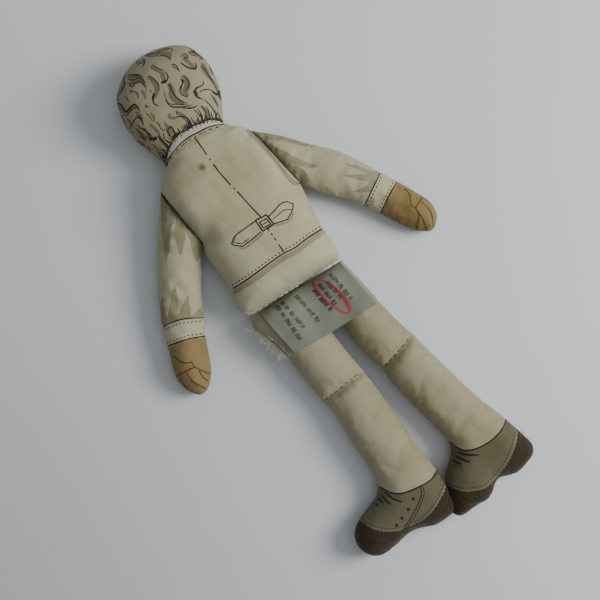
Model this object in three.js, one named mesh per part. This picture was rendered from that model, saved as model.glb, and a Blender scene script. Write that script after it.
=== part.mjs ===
// Small stuffed cloth doll, lying face down with its back up. Millimetres, +Z up.
// +Y runs from the soles to the crown, +X towards the doll's own right hand,
// +Z out of its back. The origin is at the middle of its footprint, on the
// surface it lies on.
//
// Each stuffed pocket (head, torso, arms, thighs, shins with feet) is a back
// panel and a front panel of cotton cloth that meet at the side seams, round a
// block of stuffing. Pockets narrow to a stitched line where the doll folds.
import * as THREE from 'three';

// ---------------------------------------------------------------- dimensions
const CLOTH = 0.6;            // cloth with its turned seam allowance
const GAP = 0.3;              // space kept between touching pieces
const LIP = 0.15;             // half of the gap between back and front panels
const REACH = 0.65;           // from a fold line to the first edge of a pocket

const NECK_Y = 56.4, NECK_Z = 9.4;
const HIP_Y = 1.6, HIP_Z = 9.0;
const KNEE_Z = 6.6;

const ARMHOLE_R = [[12.97, 51.24], [17.18, 28.36]];   // top, bottom
const ARMHOLE_L = [[-21.78, 49.84], [-19.11, 28.91]];
const ARMHOLE_Z = 9.2;
// Stitched knee lines, left end and right end. Both knees fold about axes turned
// 11.7 degrees from X, midway between the two lines, so the shins stay side by side.
const KNEE_L = [[-13.4, -33.85], [2.5, -32.1]];
const KNEE_R = [[8.2, -35.2], [21.9, -30.95]];

const ARM_WEDGE = 1.3;         // rise per mm away from an armhole

const LABEL_W = 30.4, LABEL_L = 17.4, LABEL_T = 0.35;

// ------------------------------------------------------------------- helpers
// A station is one cross-section of a pocket: its left and right edge points
// in plan, the height of its side seam, how far the back and the front stand
// off the seam, and how steeply each may rise from its edges.
const st = (xl, yl, xr, yr, zc, hb, hf, kl = 99, kr = 99) => ({ xl, yl, xr, yr, zc, hb, hf, kl, kr });

const bulge = (u, h, w, kl, kr, p) => {
  const e = Math.pow(Math.max(0, 1 - Math.pow(Math.abs(u), p)), 1 / p);
  const dl = w * (1 + u), dr = w * (1 - u);
  return Math.max(0, Math.min(h * e, kl * dl, kr * dr));
};

function pointAt(s, u, inset) {
  const mx = (s.xl + s.xr) / 2, my = (s.yl + s.yr) / 2;
  const dx = (s.xr - s.xl) / 2, dy = (s.yr - s.yl) / 2;
  const len = Math.hypot(dx, dy);
  const k = (len - inset) / len;
  return [mx + dx * u * k, my + dy * u * k, len - inset];
}

// Joins a row of closed cross-sections, each a list of points, with caps.
function loft(sections, capTriangles) {
  const n = sections[0].length, pos = [], idx = [];
  for (const s of sections) for (const p of s) pos.push(...p);
  for (let i = 0; i + 1 < sections.length; i++) {
    for (let j = 0; j < n; j++) {
      const a = i * n + j, b = i * n + (j + 1) % n, c = a + n, d = b + n;
      idx.push(a, b, d, a, d, c);
    }
  }
  const last = (sections.length - 1) * n;
  for (const [a, b, c] of capTriangles) {
    idx.push(a, c, b);
    idx.push(last + a, last + b, last + c);
  }
  return closed(pos, idx);
}

// Builds the geometry with its faces pointing outwards.
function closed(pos, idx) {
  let vol = 0;
  for (let i = 0; i < idx.length; i += 3) {
    const [a, b, c] = [idx[i] * 3, idx[i + 1] * 3, idx[i + 2] * 3];
    vol += pos[a] * (pos[b + 1] * pos[c + 2] - pos[b + 2] * pos[c + 1])
      - pos[a + 1] * (pos[b] * pos[c + 2] - pos[b + 2] * pos[c])
      + pos[a + 2] * (pos[b] * pos[c + 1] - pos[b + 1] * pos[c]);
  }
  if (vol < 0) for (let i = 0; i < idx.length; i += 3) [idx[i + 1], idx[i + 2]] = [idx[i + 2], idx[i + 1]];
  const g = new THREE.BufferGeometry();
  g.setAttribute('position', new THREE.Float32BufferAttribute(pos, 3));
  g.setIndex(idx);
  const flat = g.toNonIndexed();
  flat.computeVertexNormals();
  return flat;
}

// One cloth panel: side +1 is the back, -1 the front, which lies flat at z = 0.
function panel(stations, side, n = 8, p = 2.3) {
  const sections = stations.map((s) => {
    const h = side > 0 ? s.hb : s.hf, pts = [];
    for (let j = 0; j <= n; j++) {                       // outer skin
      const u = -Math.cos(Math.PI * j / n);
      const [x, y, w] = pointAt(s, u, 0);
      let z = LIP + CLOTH + bulge(u, h - LIP - CLOTH, w, s.kl, s.kr, p);
      z = s.zc + side * z;
      if (side < 0) z = Math.max(z, 0);
      pts.push([x, y, z]);
    }
    { const [x, y] = pointAt(s, 1, 0); pts.push([x, y, s.zc + side * LIP]); }
    for (let j = n; j >= 0; j--) {                       // inner skin
      const u = -Math.cos(Math.PI * j / n);
      const [x, y, w] = pointAt(s, u, CLOTH);
      let z = LIP + bulge(u, h - LIP - CLOTH, w, s.kl, s.kr, p);
      z = s.zc + side * z;
      if (side < 0) z = Math.max(z, CLOTH);
      pts.push([x, y, z]);
    }
    { const [x, y] = pointAt(s, -1, 0); pts.push([x, y, s.zc + side * LIP]); }
    return pts;
  });
  // Section order: outer 0..n, right corner n+1, inner n+2..2n+2, left corner 2n+3.
  const caps = [];
  const inner = (j) => 2 * n + 2 - j;
  for (let j = 0; j < n; j++) {
    caps.push([j, j + 1, inner(j + 1)]);
    caps.push([j, inner(j + 1), inner(j)]);
  }
  caps.push([n, n + 1, inner(n)]);
  caps.push([0, inner(0), 2 * n + 3]);
  return loft(sections, caps);
}

// The stuffing inside a pocket, clear of both panels.
function stuffing(stations, n = 6, p = 2.3) {
  const inset = CLOTH + 1.0;
  const sections = stations.map((s) => {
    const pts = [];
    for (const side of [1, -1]) {
      for (let j = 0; j < n; j++) {
        const u = side * -Math.cos(Math.PI * j / n);
        const [x, y, w] = pointAt(s, u, inset);
        const h = (side > 0 ? s.hb : s.hf) - CLOTH - LIP - GAP - 0.6;
        let z = bulge(u, Math.max(0.1, h), w, s.kl * 0.9, s.kr * 0.9, p);
        z = s.zc + side * z;
        if (side < 0) z = Math.max(z, CLOTH + GAP);
        pts.push([x, y, z]);
      }
    }
    return pts;
  });
  const caps = [];
  for (let j = 1; j + 1 < 2 * n; j++) caps.push([0, j, j + 1]);
  return loft(sections, caps);
}

// A row of stitches lying along a line, as one narrow bar of thread.
function threadBar(a, b, z, r = 0.32, sides = 6) {
  const dir = [b[0] - a[0], b[1] - a[1]], len = Math.hypot(...dir);
  const nx = -dir[1] / len, ny = dir[0] / len, sections = [];
  for (const q of [a, b]) {
    const pts = [];
    for (let j = 0; j < sides; j++) {
      const t = 2 * Math.PI * j / sides;
      pts.push([q[0] + nx * r * Math.cos(t), q[1] + ny * r * Math.cos(t), z + r * Math.sin(t)]);
    }
    sections.push(pts);
  }
  const caps = [];
  for (let j = 1; j + 1 < sides; j++) caps.push([0, j, j + 1]);
  return loft(sections, caps);
}

// A point at fraction t along a line, moved d towards its right-hand side
// (looking from the first to the second point).
const along = ([a, b], t, d) => {
  const dx = b[0] - a[0], dy = b[1] - a[1], l = Math.hypot(dx, dy);
  return [a[0] + dx * t + dy / l * d, a[1] + dy * t - dx / l * d];
};

const cotton = (color) => new THREE.MeshStandardMaterial({ color, roughness: 0.92, metalness: 0 });
const CREAM = 0xb4ae97, WHITE = 0xc8c4b4, FILL = 0xe4e0d2, INK = 0x3a352b, TAG = 0x9a9c8c, OLIVE = 0x8f8a70;

const doll = new THREE.Group();
function body(...parts) {
  const g = new THREE.Group();
  for (const [name, geometry, material] of parts) {
    const m = new THREE.Mesh(geometry, material);
    m.name = name;
    g.add(m);
  }
  doll.add(g);
}

// --------------------------------------------------------------------- torso
const TORSO = [
  st(-15.8, NECK_Y - REACH, 6.9, NECK_Y - REACH, NECK_Z, 0.8, 0.8),
  st(-16.9, NECK_Y - 1.9, 8.6, NECK_Y - 1.9, 9.4, 5.6, 5.6),
  st(-20.0, 51.6, 12.0, 51.6, 9.3, 8.0, 8.0, ARM_WEDGE, ARM_WEDGE),
  st(-20.7, 46.0, 13.1, 47.0, ARMHOLE_Z, 9.4, 10.0, ARM_WEDGE, ARM_WEDGE),
  st(-19.6, 38.0, 14.6, 38.6, ARMHOLE_Z, 10.2, 10.0, ARM_WEDGE, ARM_WEDGE),
  st(-18.6, 30.0, 15.7, 29.6, ARMHOLE_Z, 10.2, 9.8, ARM_WEDGE, ARM_WEDGE),
  st(-19.4, 24.0, 15.8, 24.2, ARMHOLE_Z, 9.9, 9.8, 4, 1.6),
  st(-19.4, 16.0, 16.0, 16.0, 9.2, 9.5, 10.2),
  st(-19.8, 10.6, 15.5, 10.6, 9.1, 8.9, 9.1),
  st(-20.2, 6.4, 15.4, 6.4, 9.0, 3.8, 3.9),
  st(-18.6, HIP_Y + REACH + 0.15, 15.2, HIP_Y + REACH + 0.15, HIP_Z, 0.8, 0.8),
];

// ---------------------------------------------------------------------- head
const HEAD = [
  st(-15.9, NECK_Y + REACH, 7.0, NECK_Y + REACH, NECK_Z, 0.8, 0.8),
  st(-16.4, NECK_Y + 1.9, 7.3, NECK_Y + 1.9, 9.6, 5.8, 5.8),
  st(-17.4, 61.4, 8.6, 61.4, 10.2, 8.6, 9.4),
  st(-18.9, 66.0, 10.8, 66.0, 10.9, 10.2, 11.6),
  st(-19.8, 71.0, 12.2, 71.0, 11.3, 11.0, 12.0),
  st(-19.4, 76.0, 12.6, 76.0, 11.5, 11.2, 12.2),
  st(-17.9, 80.8, 11.1, 80.8, 11.4, 10.4, 12.0),
  st(-14.8, 84.4, 9.0, 84.4, 11.2, 8.6, 9.6),
  st(-10.6, 87.0, 5.4, 87.0, 11.1, 5.4, 5.8),
  st(-6.2, 88.7, 0.9, 88.7, 11.0, 1.6, 1.6),
];


// Edge points from shoulder to finger tip: [x top, y top, x bottom, y bottom,
// seam height, back rise, front rise].
const ARM_R = [
  st(17.18 + REACH, 28.6, 12.97 + REACH + 0.1, 50.9, ARMHOLE_Z, 0.8, 0.8),
  st(20.2, 24.2, 19.6, 45.2, 7.6, 5.6, 6.6, 1.4, 1.4),
  st(22.9, 21.4, 26.6, 37.6, 6.4, 5.8, 7.2),
  st(27.4, 16.3, 33.6, 30.2, 5.9, 5.6, 6.7),
  st(33.4, 8.0, 40.1, 19.5, 5.5, 5.2, 6.3),
  st(37.6, 0.9, 44.3, 12.0, 5.1, 4.8, 5.9),
  st(41.1, -3.9, 48.2, 5.2, 4.8, 4.3, 5.5),
  st(44.2, -6.1, 49.6, -0.6, 4.4, 3.0, 3.8),
  st(46.6, -6.4, 49.3, -3.6, 4.2, 1.4, 1.4),
];
const ARM_L = [
  st(-21.78 - REACH, 49.5, -19.11 - REACH - 0.1, 29.2, ARMHOLE_Z, 0.8, 0.8),
  st(-25.4, 44.6, -22.2, 24.6, 7.6, 5.6, 6.6, 1.4, 1.4),
  st(-29.6, 38.6, -25.0, 20.6, 6.4, 5.8, 7.2),
  st(-35.4, 30.2, -29.2, 14.0, 5.9, 5.6, 6.7),
  st(-41.0, 20.4, -32.6, 7.4, 5.5, 5.2, 6.3),
  st(-46.0, 8.6, -35.6, 0.9, 5.1, 4.8, 5.9),
  st(-48.6, 0.4, -38.0, -5.0, 4.8, 4.3, 5.5),
  st(-49.6, -4.6, -41.2, -9.6, 4.4, 3.0, 3.8),
  st(-48.6, -8.0, -44.4, -11.4, 4.2, 1.4, 1.4),
];

// ---------------------------------------------------------------------- legs
const THIGH_L = [
  st(-18.4, HIP_Y - REACH - 0.15, -1.6, HIP_Y - REACH - 0.15, HIP_Z, 0.8, 0.8),
  st(-19.4, -2.8, -1.0, -2.8, 8.2, 3.8, 3.5),
  st(-18.2, -7.8, -0.5, -7.8, 7.0, 5.8, 6.9),
  st(-16.5, -14.0, 0.0, -14.0, 6.6, 6.2, 7.3),
  st(-15.0, -22.6, 0.9, -22.6, 6.6, 6.2, 7.3),
  st(-14.1, -29.0, 1.7, -27.8, 6.6, 5.6, 7.2),
  st(-13.7, -31.9, 2.2, -30.2, KNEE_Z, 1.9, 1.9),
  st(-13.4, -32.95, 2.45, -31.2, KNEE_Z, 0.8, 0.8),
];
const THIGH_R = [
  st(1.4, HIP_Y - REACH - 0.15, 15.1, HIP_Y - REACH - 0.15, HIP_Z, 0.8, 0.8),
  st(2.5, -2.8, 15.8, -2.8, 8.2, 3.8, 3.5),
  st(3.5, -7.8, 16.8, -7.8, 7.0, 5.6, 6.9),
  st(4.4, -14.4, 18.1, -13.6, 6.6, 5.9, 7.3),
  st(5.2, -22.6, 19.6, -20.6, 6.6, 5.9, 7.3),
  st(6.6, -30.2, 20.7, -25.8, 6.6, 5.4, 7.2),
  st(7.7, -33.2, 21.5, -28.9, KNEE_Z, 1.9, 1.9),
  st(8.0, -34.25, 21.7, -30.05, KNEE_Z, 0.8, 0.8),
];
// Shin with foot; the foot is flat in plan, its toe towards -X.
const SHIN_L = [
  st(-13.3, -34.75, 2.5, -33.0, KNEE_Z, 0.8, 0.8),
  st(-13.0, -35.9, 2.6, -34.2, KNEE_Z, 2.0, 2.0),
  st(-12.5, -39.2, 3.0, -37.7, 6.6, 6.0, 7.2),
  st(-12.7, -47.0, 3.6, -46.0, 6.6, 6.4, 7.3),
  st(-12.5, -57.0, 4.0, -56.6, 6.5, 6.4, 7.2),
  st(-12.7, -65.6, 4.6, -67.0, 6.4, 6.1, 7.1),
  st(-17.6, -70.0, 5.4, -74.2, 6.3, 5.9, 7.0),
  st(-24.6, -72.9, 5.3, -79.2, 6.2, 5.7, 6.9),
  st(-28.6, -78.2, 5.0, -83.6, 6.0, 4.6, 6.4),
  st(-27.2, -83.2, 2.4, -86.0, 5.9, 1.8, 2.0),
];
const SHIN_R = [
  st(8.4, -36.05, 22.05, -31.85, KNEE_Z, 0.8, 0.8),
  st(8.5, -37.2, 22.3, -33.0, KNEE_Z, 2.0, 2.0),
  st(8.6, -40.8, 23.3, -37.0, 6.6, 5.8, 7.2),
  st(9.6, -47.6, 25.2, -45.0, 6.6, 6.2, 7.3),
  st(11.0, -56.6, 27.9, -55.6, 6.5, 6.3, 7.2),
  st(13.4, -66.0, 31.0, -65.6, 6.4, 6.1, 7.1),
  st(10.0, -71.6, 33.2, -71.4, 6.3, 5.8, 7.0),
  st(5.9, -77.0, 34.6, -78.0, 6.1, 5.4, 6.8),
  st(5.7, -83.2, 35.2, -81.8, 6.0, 4.4, 6.4),
  st(5.9, -88.0, 30.6, -85.6, 5.9, 1.8, 2.0),
];

for (const [name, stations, n, coreFrom, coreTo] of [
  ['torso', TORSO, 10, 1, -1], ['head', HEAD, 10, 1, -1],
]) {
  const core = stations.slice(coreFrom, coreTo);
  body(
    [`${name}_back_panel`, panel(stations, 1, n), cotton(CREAM)],
    [`${name}_front_panel`, panel(stations, -1, n), cotton(name === 'torso' ? WHITE : CREAM)],
    [`${name}_stuffing`, stuffing(core, n), cotton(FILL)],
  );
}
for (const [name, stations] of [['right_arm', ARM_R], ['left_arm', ARM_L]]) {
  body(
    [`${name}_back_panel`, panel(stations, 1, 8), cotton(CREAM)],
    [`${name}_front_panel`, panel(stations, -1, 8), cotton(CREAM)],
    [`${name}_stuffing`, stuffing(stations.slice(1, -1), 8), cotton(FILL)],
  );
}
for (const [name, stations, a, b] of [
  ['left_thigh', THIGH_L, 1, -2], ['right_thigh', THIGH_R, 1, -2],
  ['left_shin', SHIN_L, 2, -1], ['right_shin', SHIN_R, 2, -1],
]) {
  const shoe = name.includes('shin') ? OLIVE : CREAM;
  body(
    [`${name}_back_panel`, panel(stations, 1, 8), cotton(shoe)],
    [`${name}_front_panel`, panel(stations, -1, 8), cotton(shoe)],
    [`${name}_stuffing`, stuffing(stations.slice(a, b), 8), cotton(FILL)],
  );
}

// ----------------------------------------------------- stitched lines, thread
const thread = cotton(INK);
body(['left_knee_stitching', threadBar(along(KNEE_L, 0.03, 0), along(KNEE_L, 0.97, 0), KNEE_Z, 0.24), thread]);
body(['right_knee_stitching', threadBar(along(KNEE_R, 0.03, 0), along(KNEE_R, 0.97, 0), KNEE_Z, 0.24), thread]);
body(['right_armhole_stitching', threadBar(along(ARMHOLE_R, 0.04, 0), along(ARMHOLE_R, 0.96, 0), ARMHOLE_Z, 0.2), thread]);
body(['left_armhole_stitching', threadBar(along(ARMHOLE_L, 0.04, 0), along(ARMHOLE_L, 0.96, 0), ARMHOLE_Z, 0.2), thread]);
body(['hip_seam_stitching', threadBar([-18.2, HIP_Y], [15.0, HIP_Y], HIP_Z, 0.36), thread]);

// --------------------------------------------------------------------- label
// A woven tag caught in the hip seam; it climbs off the seam and lies flat over
// the tops of the thighs.
{
  const y0 = HIP_Y - 0.75, x0 = -15.4, x1 = x0 + LABEL_W, t = LABEL_T;
  const line = [[y0, 10.2], [y0 - 3.6, 13.0], [y0 - 7.0, 13.75], [y0 - LABEL_L, 13.75]];
  const section = (x) => [...line.map(([y, z]) => [x, y, z]), ...line.slice().reverse().map(([y, z]) => [x, y, z + t])];
  const caps = [[0, 1, 6], [0, 6, 7], [1, 2, 5], [1, 5, 6], [2, 3, 4], [2, 4, 5]];
  body(['care_label', loft([section(x0), section(x1)], caps), cotton(TAG)]);
}

export default doll;
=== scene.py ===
import bpy, math
import numpy as np
from mathutils import Vector, Matrix
from mathutils.geometry import delaunay_2d_cdt
from mathutils.kdtree import KDTree
from mathutils.bvhtree import BVHTree


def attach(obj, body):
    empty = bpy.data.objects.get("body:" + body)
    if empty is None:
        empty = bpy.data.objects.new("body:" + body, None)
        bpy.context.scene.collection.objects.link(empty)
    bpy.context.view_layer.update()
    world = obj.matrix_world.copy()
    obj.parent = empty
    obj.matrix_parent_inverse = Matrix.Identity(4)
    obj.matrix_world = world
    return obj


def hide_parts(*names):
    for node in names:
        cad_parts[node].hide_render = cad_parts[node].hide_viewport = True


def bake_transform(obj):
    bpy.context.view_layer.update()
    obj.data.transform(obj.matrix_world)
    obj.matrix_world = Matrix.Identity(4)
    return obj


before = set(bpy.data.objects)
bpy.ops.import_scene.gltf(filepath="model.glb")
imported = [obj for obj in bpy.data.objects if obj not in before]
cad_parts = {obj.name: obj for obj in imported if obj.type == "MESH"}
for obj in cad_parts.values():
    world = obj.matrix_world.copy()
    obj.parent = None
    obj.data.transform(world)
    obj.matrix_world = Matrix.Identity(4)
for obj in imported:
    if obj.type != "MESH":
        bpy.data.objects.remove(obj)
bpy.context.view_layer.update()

MM = 0.001
TILT = math.radians(32.3)          # how far the doll's length is turned in the picture

# ------------------------------------------------------------------ artwork
# Printed artwork of the back of the doll, millimetres in the doll's own frame:
# (colour, line width or 0 for a filled shape, tapered, points)
ART = {
    'body': [
        ('hshade', 0.92, 1, [(-2.51, 87.62), (0.17, 85.92), (2.93, 84.36), (4.1, 83.25), (3.3, 81.69)]),
        ('hshade', 0.83, 1, [(-3.18, 82.41), (-2.35, 80.76), (-1.35, 79.38), (-1.39, 77.53)]),
        ('hshade', 1.2, 1, [(-1.68, 78.84), (-1.83, 77.43), (-2.15, 76.32)]),
        ('hshade', 1.1, 1, [(7.46, 80.56), (7.19, 79.23), (7.39, 78.36), (7.6, 76.91), (7.71, 75.9)]),
        ('hshade', 1.2, 1, [(-10.68, 83.59), (-9.77, 82.08), (-8.07, 81.19), (-7.41, 79.27)]),
        ('hshade', 0.92, 1, [(-11.26, 82.08), (-9.65, 81.07), (-7.96, 80.18), (-7.74, 78.17)]),
        ('hshade', 1.01, 1, [(-9.94, 87.44), (-11.53, 85.81), (-13.15, 83.84), (-15.01, 82.39)]),
        ('hshade', 1.65, 1, [(-5.51, 80.51), (-4.81, 78.94), (-4.75, 76.66), (-5.64, 74.96), (-7.24, 73.73)]),
        ('hshade', 2.11, 1, [(-1.2, 75.16), (-1.41, 73.04), (-2.29, 71.35), (-1.9, 69.6), (-0.53, 67.61)]),
        ('hshade', 1.93, 1, [(3.5, 75.19), (3.86, 73.08), (2.98, 71.39), (1.6, 70.39), (1.72, 68.81)]),
        ('hshade', 1.2, 1, [(3.59, 64.63), (4.06, 63.02), (3.84, 61.47), (2.72, 60.3)]),
        ('hshade', 1.1, 1, [(-17.43, 75.29), (-15.41, 75.52), (-13.65, 75.34), (-13.0, 73.99)]),
        ('hshade', 0.92, 1, [(-17.12, 69.85), (-16.63, 67.66), (-16.74, 65.11)]),
        ('hshade', 0.83, 1, [(-15.25, 68.66), (-15.02, 66.65), (-15.06, 64.8)]),
        ('hshade', 0.92, 1, [(-19.78, 74.53), (-19.83, 72.69), (-19.87, 70.84)]),
        ('hshade', 1.1, 1, [(-12.58, 63.98), (-12.36, 61.96), (-12.13, 59.94)]),
        ('hshade', 0.92, 1, [(-8.33, 66.54), (-8.81, 64.6), (-9.46, 62.38), (-8.9, 60.9)]),
        ('hshade', 1.01, 1, [(-3.37, 64.91), (-2.54, 63.25), (-2.85, 61.58)]),
        ('hshade', 0.83, 1, [(-19.35, 67.51), (-18.79, 66.03), (-17.69, 64.21)]),
        ('hshade', 0.92, 1, [(4.08, 69.57), (3.94, 68.16), (4.23, 66.85)]),
        ('hshade', 0.74, 1, [(-12.09, 80.17), (-12.07, 79.03)]),
        ('hshade', 0.92, 1, [(-5.54, 67.4), (-6.58, 66.94), (-5.77, 65.86), (-4.26, 65.28)]),
        ('hshade', 0.92, 1, [(9.86, 81.67), (10.42, 80.19), (11.25, 78.54)]),
        ('hshade', 0.74, 1, [(-17.98, 79.77), (-17.31, 77.85), (-17.26, 75.56)]),
        ('hshade', 0.64, 1, [(11.4, 75.82), (11.09, 74.14), (10.98, 71.59)]),
        ('hshade', 0.74, 1, [(-10.63, 70.62), (-10.51, 69.04), (-11.45, 68.14)]),
        ('hshade', 0.83, 1, [(8.03, 66.33), (8.25, 64.31), (8.04, 62.19)]),
        ('hshade', 0.74, 1, [(-4.26, 87.22), (-3.97, 85.91), (-4.81, 84.57)]),
        ('hair', 0.39, 1, [(1.99, 88.22), (3.84, 87.58), (6.65, 86.1), (9.23, 84.24), (10.53, 82.74)]),
        ('hair', 0.39, 1, [(-2.1, 88.86), (-2.63, 88.26), (-2.18, 87.55), (0.37, 86.24), (1.81, 85.56)]),
        ('hair', 0.43, 1, [(1.07, 86.17), (2.27, 86.28), (3.63, 86.06), (4.97, 85.21), (5.35, 84.33), (4.66, 83.53)]),
        ('hair', 0.34, 1, [(-5.16, 88.17), (-5.9, 87.13), (-5.95, 86.04), (-4.84, 85.71)]),
        ('hair', 0.43, 1, [(-4.87, 86.86), (-5.38, 86.35), (-4.81, 85.77), (-3.93, 85.96)]),
        ('hair', 0.43, 1, [(-4.47, 86.6), (-3.58, 86.23), (-3.79, 85.42), (-4.51, 84.75), (-5.55, 84.29)]),
        ('hair', 0.3, 1, [(-2.1, 83.23), (-1.94, 82.0), (-1.29, 80.65), (-0.39, 79.71), (-0.22, 78.48)]),
        ('hair', 0.43, 1, [(-0.01, 78.53), (-0.2, 77.15), (-0.96, 76.32), (-1.92, 75.8)]),
        ('hair', 0.81, 1, [(-3.08, 76.35), (-2.39, 76.55), (-2.1, 76.11), (-1.33, 76.74)]),
        ('hair', 0.39, 1, [(2.55, 79.91), (3.41, 79.19), (3.65, 78.09), (3.43, 76.55)]),
        ('hair', 0.3, 1, [(2.57, 79.34), (3.08, 78.08), (3.55, 77.03)]),
        ('hair', 0.39, 1, [(6.02, 80.35), (6.93, 80.9), (7.85, 80.88), (8.27, 80.05), (7.89, 79.16)]),
        ('hair', 0.56, 1, [(5.39, 79.06), (5.64, 77.96), (6.28, 76.62), (7.19, 75.67), (8.18, 75.16), (8.85, 75.93), (8.96, 76.99)]),
        ('hair', 0.34, 1, [(7.16, 80.38), (7.14, 79.45), (8.23, 79.7)]),
        ('hair', 0.56, 1, [(9.21, 80.95), (10.08, 80.55), (11.11, 80.69), (10.83, 81.43)]),
        ('hair', 0.34, 1, [(10.72, 80.37), (11.14, 79.55), (11.52, 78.37), (11.85, 77.41), (11.19, 77.26), (10.78, 78.09)]),
        ('hair', 0.39, 1, [(9.03, 81.26), (9.28, 80.16), (10.09, 79.08), (10.81, 78.44)]),
        ('hair', 0.26, 1, [(10.73, 76.24), (10.37, 74.78), (10.51, 72.63), (10.82, 70.75), (11.13, 68.86), (11.16, 67.54)]),
        ('hair', 0.39, 1, [(12.32, 74.3), (12.09, 72.76), (11.95, 71.35)]),
        ('hair', 0.3, 1, [(10.49, 71.71), (10.84, 70.18), (11.01, 68.38)]),
        ('hair', 0.34, 1, [(-10.36, 84.7), (-10.72, 83.24), (-9.6, 82.34), (-8.05, 81.82), (-7.32, 80.6), (-7.14, 79.11)]),
        ('hair', 0.34, 1, [(-11.51, 83.18), (-11.53, 82.25), (-10.63, 81.31), (-9.3, 81.03), (-8.11, 80.54), (-7.71, 79.09), (-7.72, 77.78), (-8.45, 76.56)]),
        ('hair', 0.26, 1, [(-9.59, 83.54), (-8.12, 82.91), (-6.95, 81.79)]),
        ('hair', 0.47, 1, [(-11.65, 81.77), (-11.02, 80.69), (-10.04, 80.75)]),
        ('hair', 0.39, 1, [(-12.65, 79.59), (-11.96, 79.79), (-11.85, 79.08)]),
        ('hair', 0.6, 1, [(-12.01, 83.87), (-13.12, 82.7), (-14.64, 81.78), (-16.09, 81.57)]),
        ('hair', 0.39, 1, [(-10.25, 86.88), (-11.59, 85.48), (-12.43, 84.51)]),
        ('hair', 0.43, 1, [(-7.55, 74.3), (-8.1, 73.15), (-8.07, 72.0), (-7.3, 71.14)]),
        ('hair', 0.77, 1, [(-6.42, 75.09), (-7.42, 74.22), (-8.07, 73.13)]),
        ('hair', 0.3, 1, [(-7.04, 76.6), (-6.96, 75.24)]),
        ('hair', 0.34, 1, [(-1.98, 74.53), (-1.32, 74.67), (-1.39, 73.78), (-2.18, 72.96)]),
        ('hair', 0.3, 1, [(-3.87, 72.72), (-4.45, 71.21), (-4.07, 69.73), (-1.96, 68.33), (0.64, 66.5), (1.88, 65.79)]),
        ('hair', 0.43, 1, [(-4.37, 71.92), (-4.69, 70.24), (-3.99, 68.67), (-1.84, 67.32), (-0.14, 66.46), (0.83, 65.62)]),
        ('hair', 0.21, 1, [(-3.59, 74.05), (-4.34, 72.27)]),
        ('hair', 0.43, 1, [(2.51, 74.5), (2.62, 73.49), (1.9, 72.64), (1.07, 72.22), (0.48, 71.29), (0.55, 69.93), (1.5, 68.58)]),
        ('hair', 0.56, 1, [(2.54, 74.37), (2.89, 73.62), (2.58, 72.96)]),
        ('hair', 0.26, 1, [(1.76, 72.54), (0.91, 71.2)]),
        ('hair', 0.39, 1, [(8.32, 70.64), (7.37, 69.74), (5.66, 69.7), (4.35, 69.4), (3.63, 69.1)]),
        ('hair', 0.56, 1, [(5.83, 69.97), (4.57, 69.45), (4.46, 68.39), (4.04, 67.72), (4.5, 66.68), (5.14, 66.09)]),
        ('hair', 0.39, 1, [(4.18, 69.13), (3.81, 68.25), (4.05, 67.15)]),
        ('hair', 0.34, 1, [(5.13, 67.97), (6.18, 68.44), (7.64, 68.07), (8.97, 67.23), (9.79, 66.15)]),
        ('hair', 0.77, 1, [(9.02, 67.01), (9.36, 66.05), (10.19, 65.6), (10.64, 66.55)]),
        ('hair', 0.43, 1, [(11.31, 66.88), (10.5, 65.14), (10.09, 63.9)]),
        ('hair', 0.3, 1, [(8.23, 65.45), (8.44, 64.0), (8.3, 62.59)]),
        ('hair', 0.47, 1, [(3.59, 64.63), (3.8, 63.19), (3.44, 61.73), (2.19, 60.64), (0.74, 60.43)]),
        ('hair', 0.43, 1, [(2.27, 64.34), (2.23, 62.49), (1.99, 61.52), (0.99, 60.83), (-0.37, 60.76)]),
        ('hair', 0.34, 1, [(4.92, 63.79), (4.75, 62.02), (3.82, 60.55)]),
        ('hair', 0.39, 1, [(0.92, 62.2), (-0.03, 61.29), (-1.34, 61.0)]),
        ('hair', 0.39, 1, [(4.56, 60.83), (5.21, 59.48), (6.41, 58.42)]),
        ('hair', 0.56, 1, [(-15.64, 57.66), (-15.48, 56.43), (-15.8, 55.33)]),
        ('hair', 0.94, 1, [(-14.96, 58.73), (-14.41, 57.82), (-13.06, 58.47)]),
        ('hair', 0.6, 1, [(-13.42, 58.14), (-12.29, 59.1), (-11.24, 59.57), (-9.85, 60.0)]),
        ('hair', 1.2, 1, [(-9.34, 60.8), (-7.81, 61.15), (-6.58, 61.31)]),
        ('hair', 0.51, 1, [(-6.71, 61.39), (-5.12, 60.95), (-3.62, 60.94)]),
        ('hair', 1.03, 1, [(-3.62, 60.94), (-2.41, 61.08), (-1.56, 60.95)]),
        ('hair', 0.51, 1, [(-1.78, 60.9), (-0.1, 60.59), (1.23, 60.31), (2.69, 60.25)]),
        ('hair', 0.86, 1, [(2.62, 60.44), (3.6, 60.2), (4.37, 59.94)]),
        ('hair', 0.98, 1, [(5.34, 59.4), (6.51, 58.58), (7.01, 57.59)]),
        ('hair', 0.43, 1, [(3.96, 59.89), (5.39, 59.18)]),
        ('hair', 0.43, 1, [(-14.95, 60.23), (-14.47, 58.61), (-14.23, 57.52)]),
        ('hair', 0.39, 1, [(-15.67, 60.87), (-15.36, 58.99), (-15.07, 57.67)]),
        ('hair', 0.43, 1, [(-14.08, 60.42), (-13.56, 59.16), (-13.15, 58.34)]),
        ('hair', 0.34, 1, [(-12.76, 64.28), (-12.45, 62.4), (-12.15, 60.52), (-12.12, 59.37)]),
        ('hair', 0.34, 1, [(-12.19, 64.3), (-12.09, 61.79), (-11.34, 60.01)]),
        ('hair', 0.47, 1, [(-11.25, 61.64), (-10.62, 60.56), (-9.71, 60.21)]),
        ('hair', 0.39, 1, [(-9.15, 64.06), (-9.46, 62.38), (-8.9, 60.9)]),
        ('hair', 0.56, 1, [(-7.84, 64.36), (-7.51, 63.4), (-8.04, 61.67)]),
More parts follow.
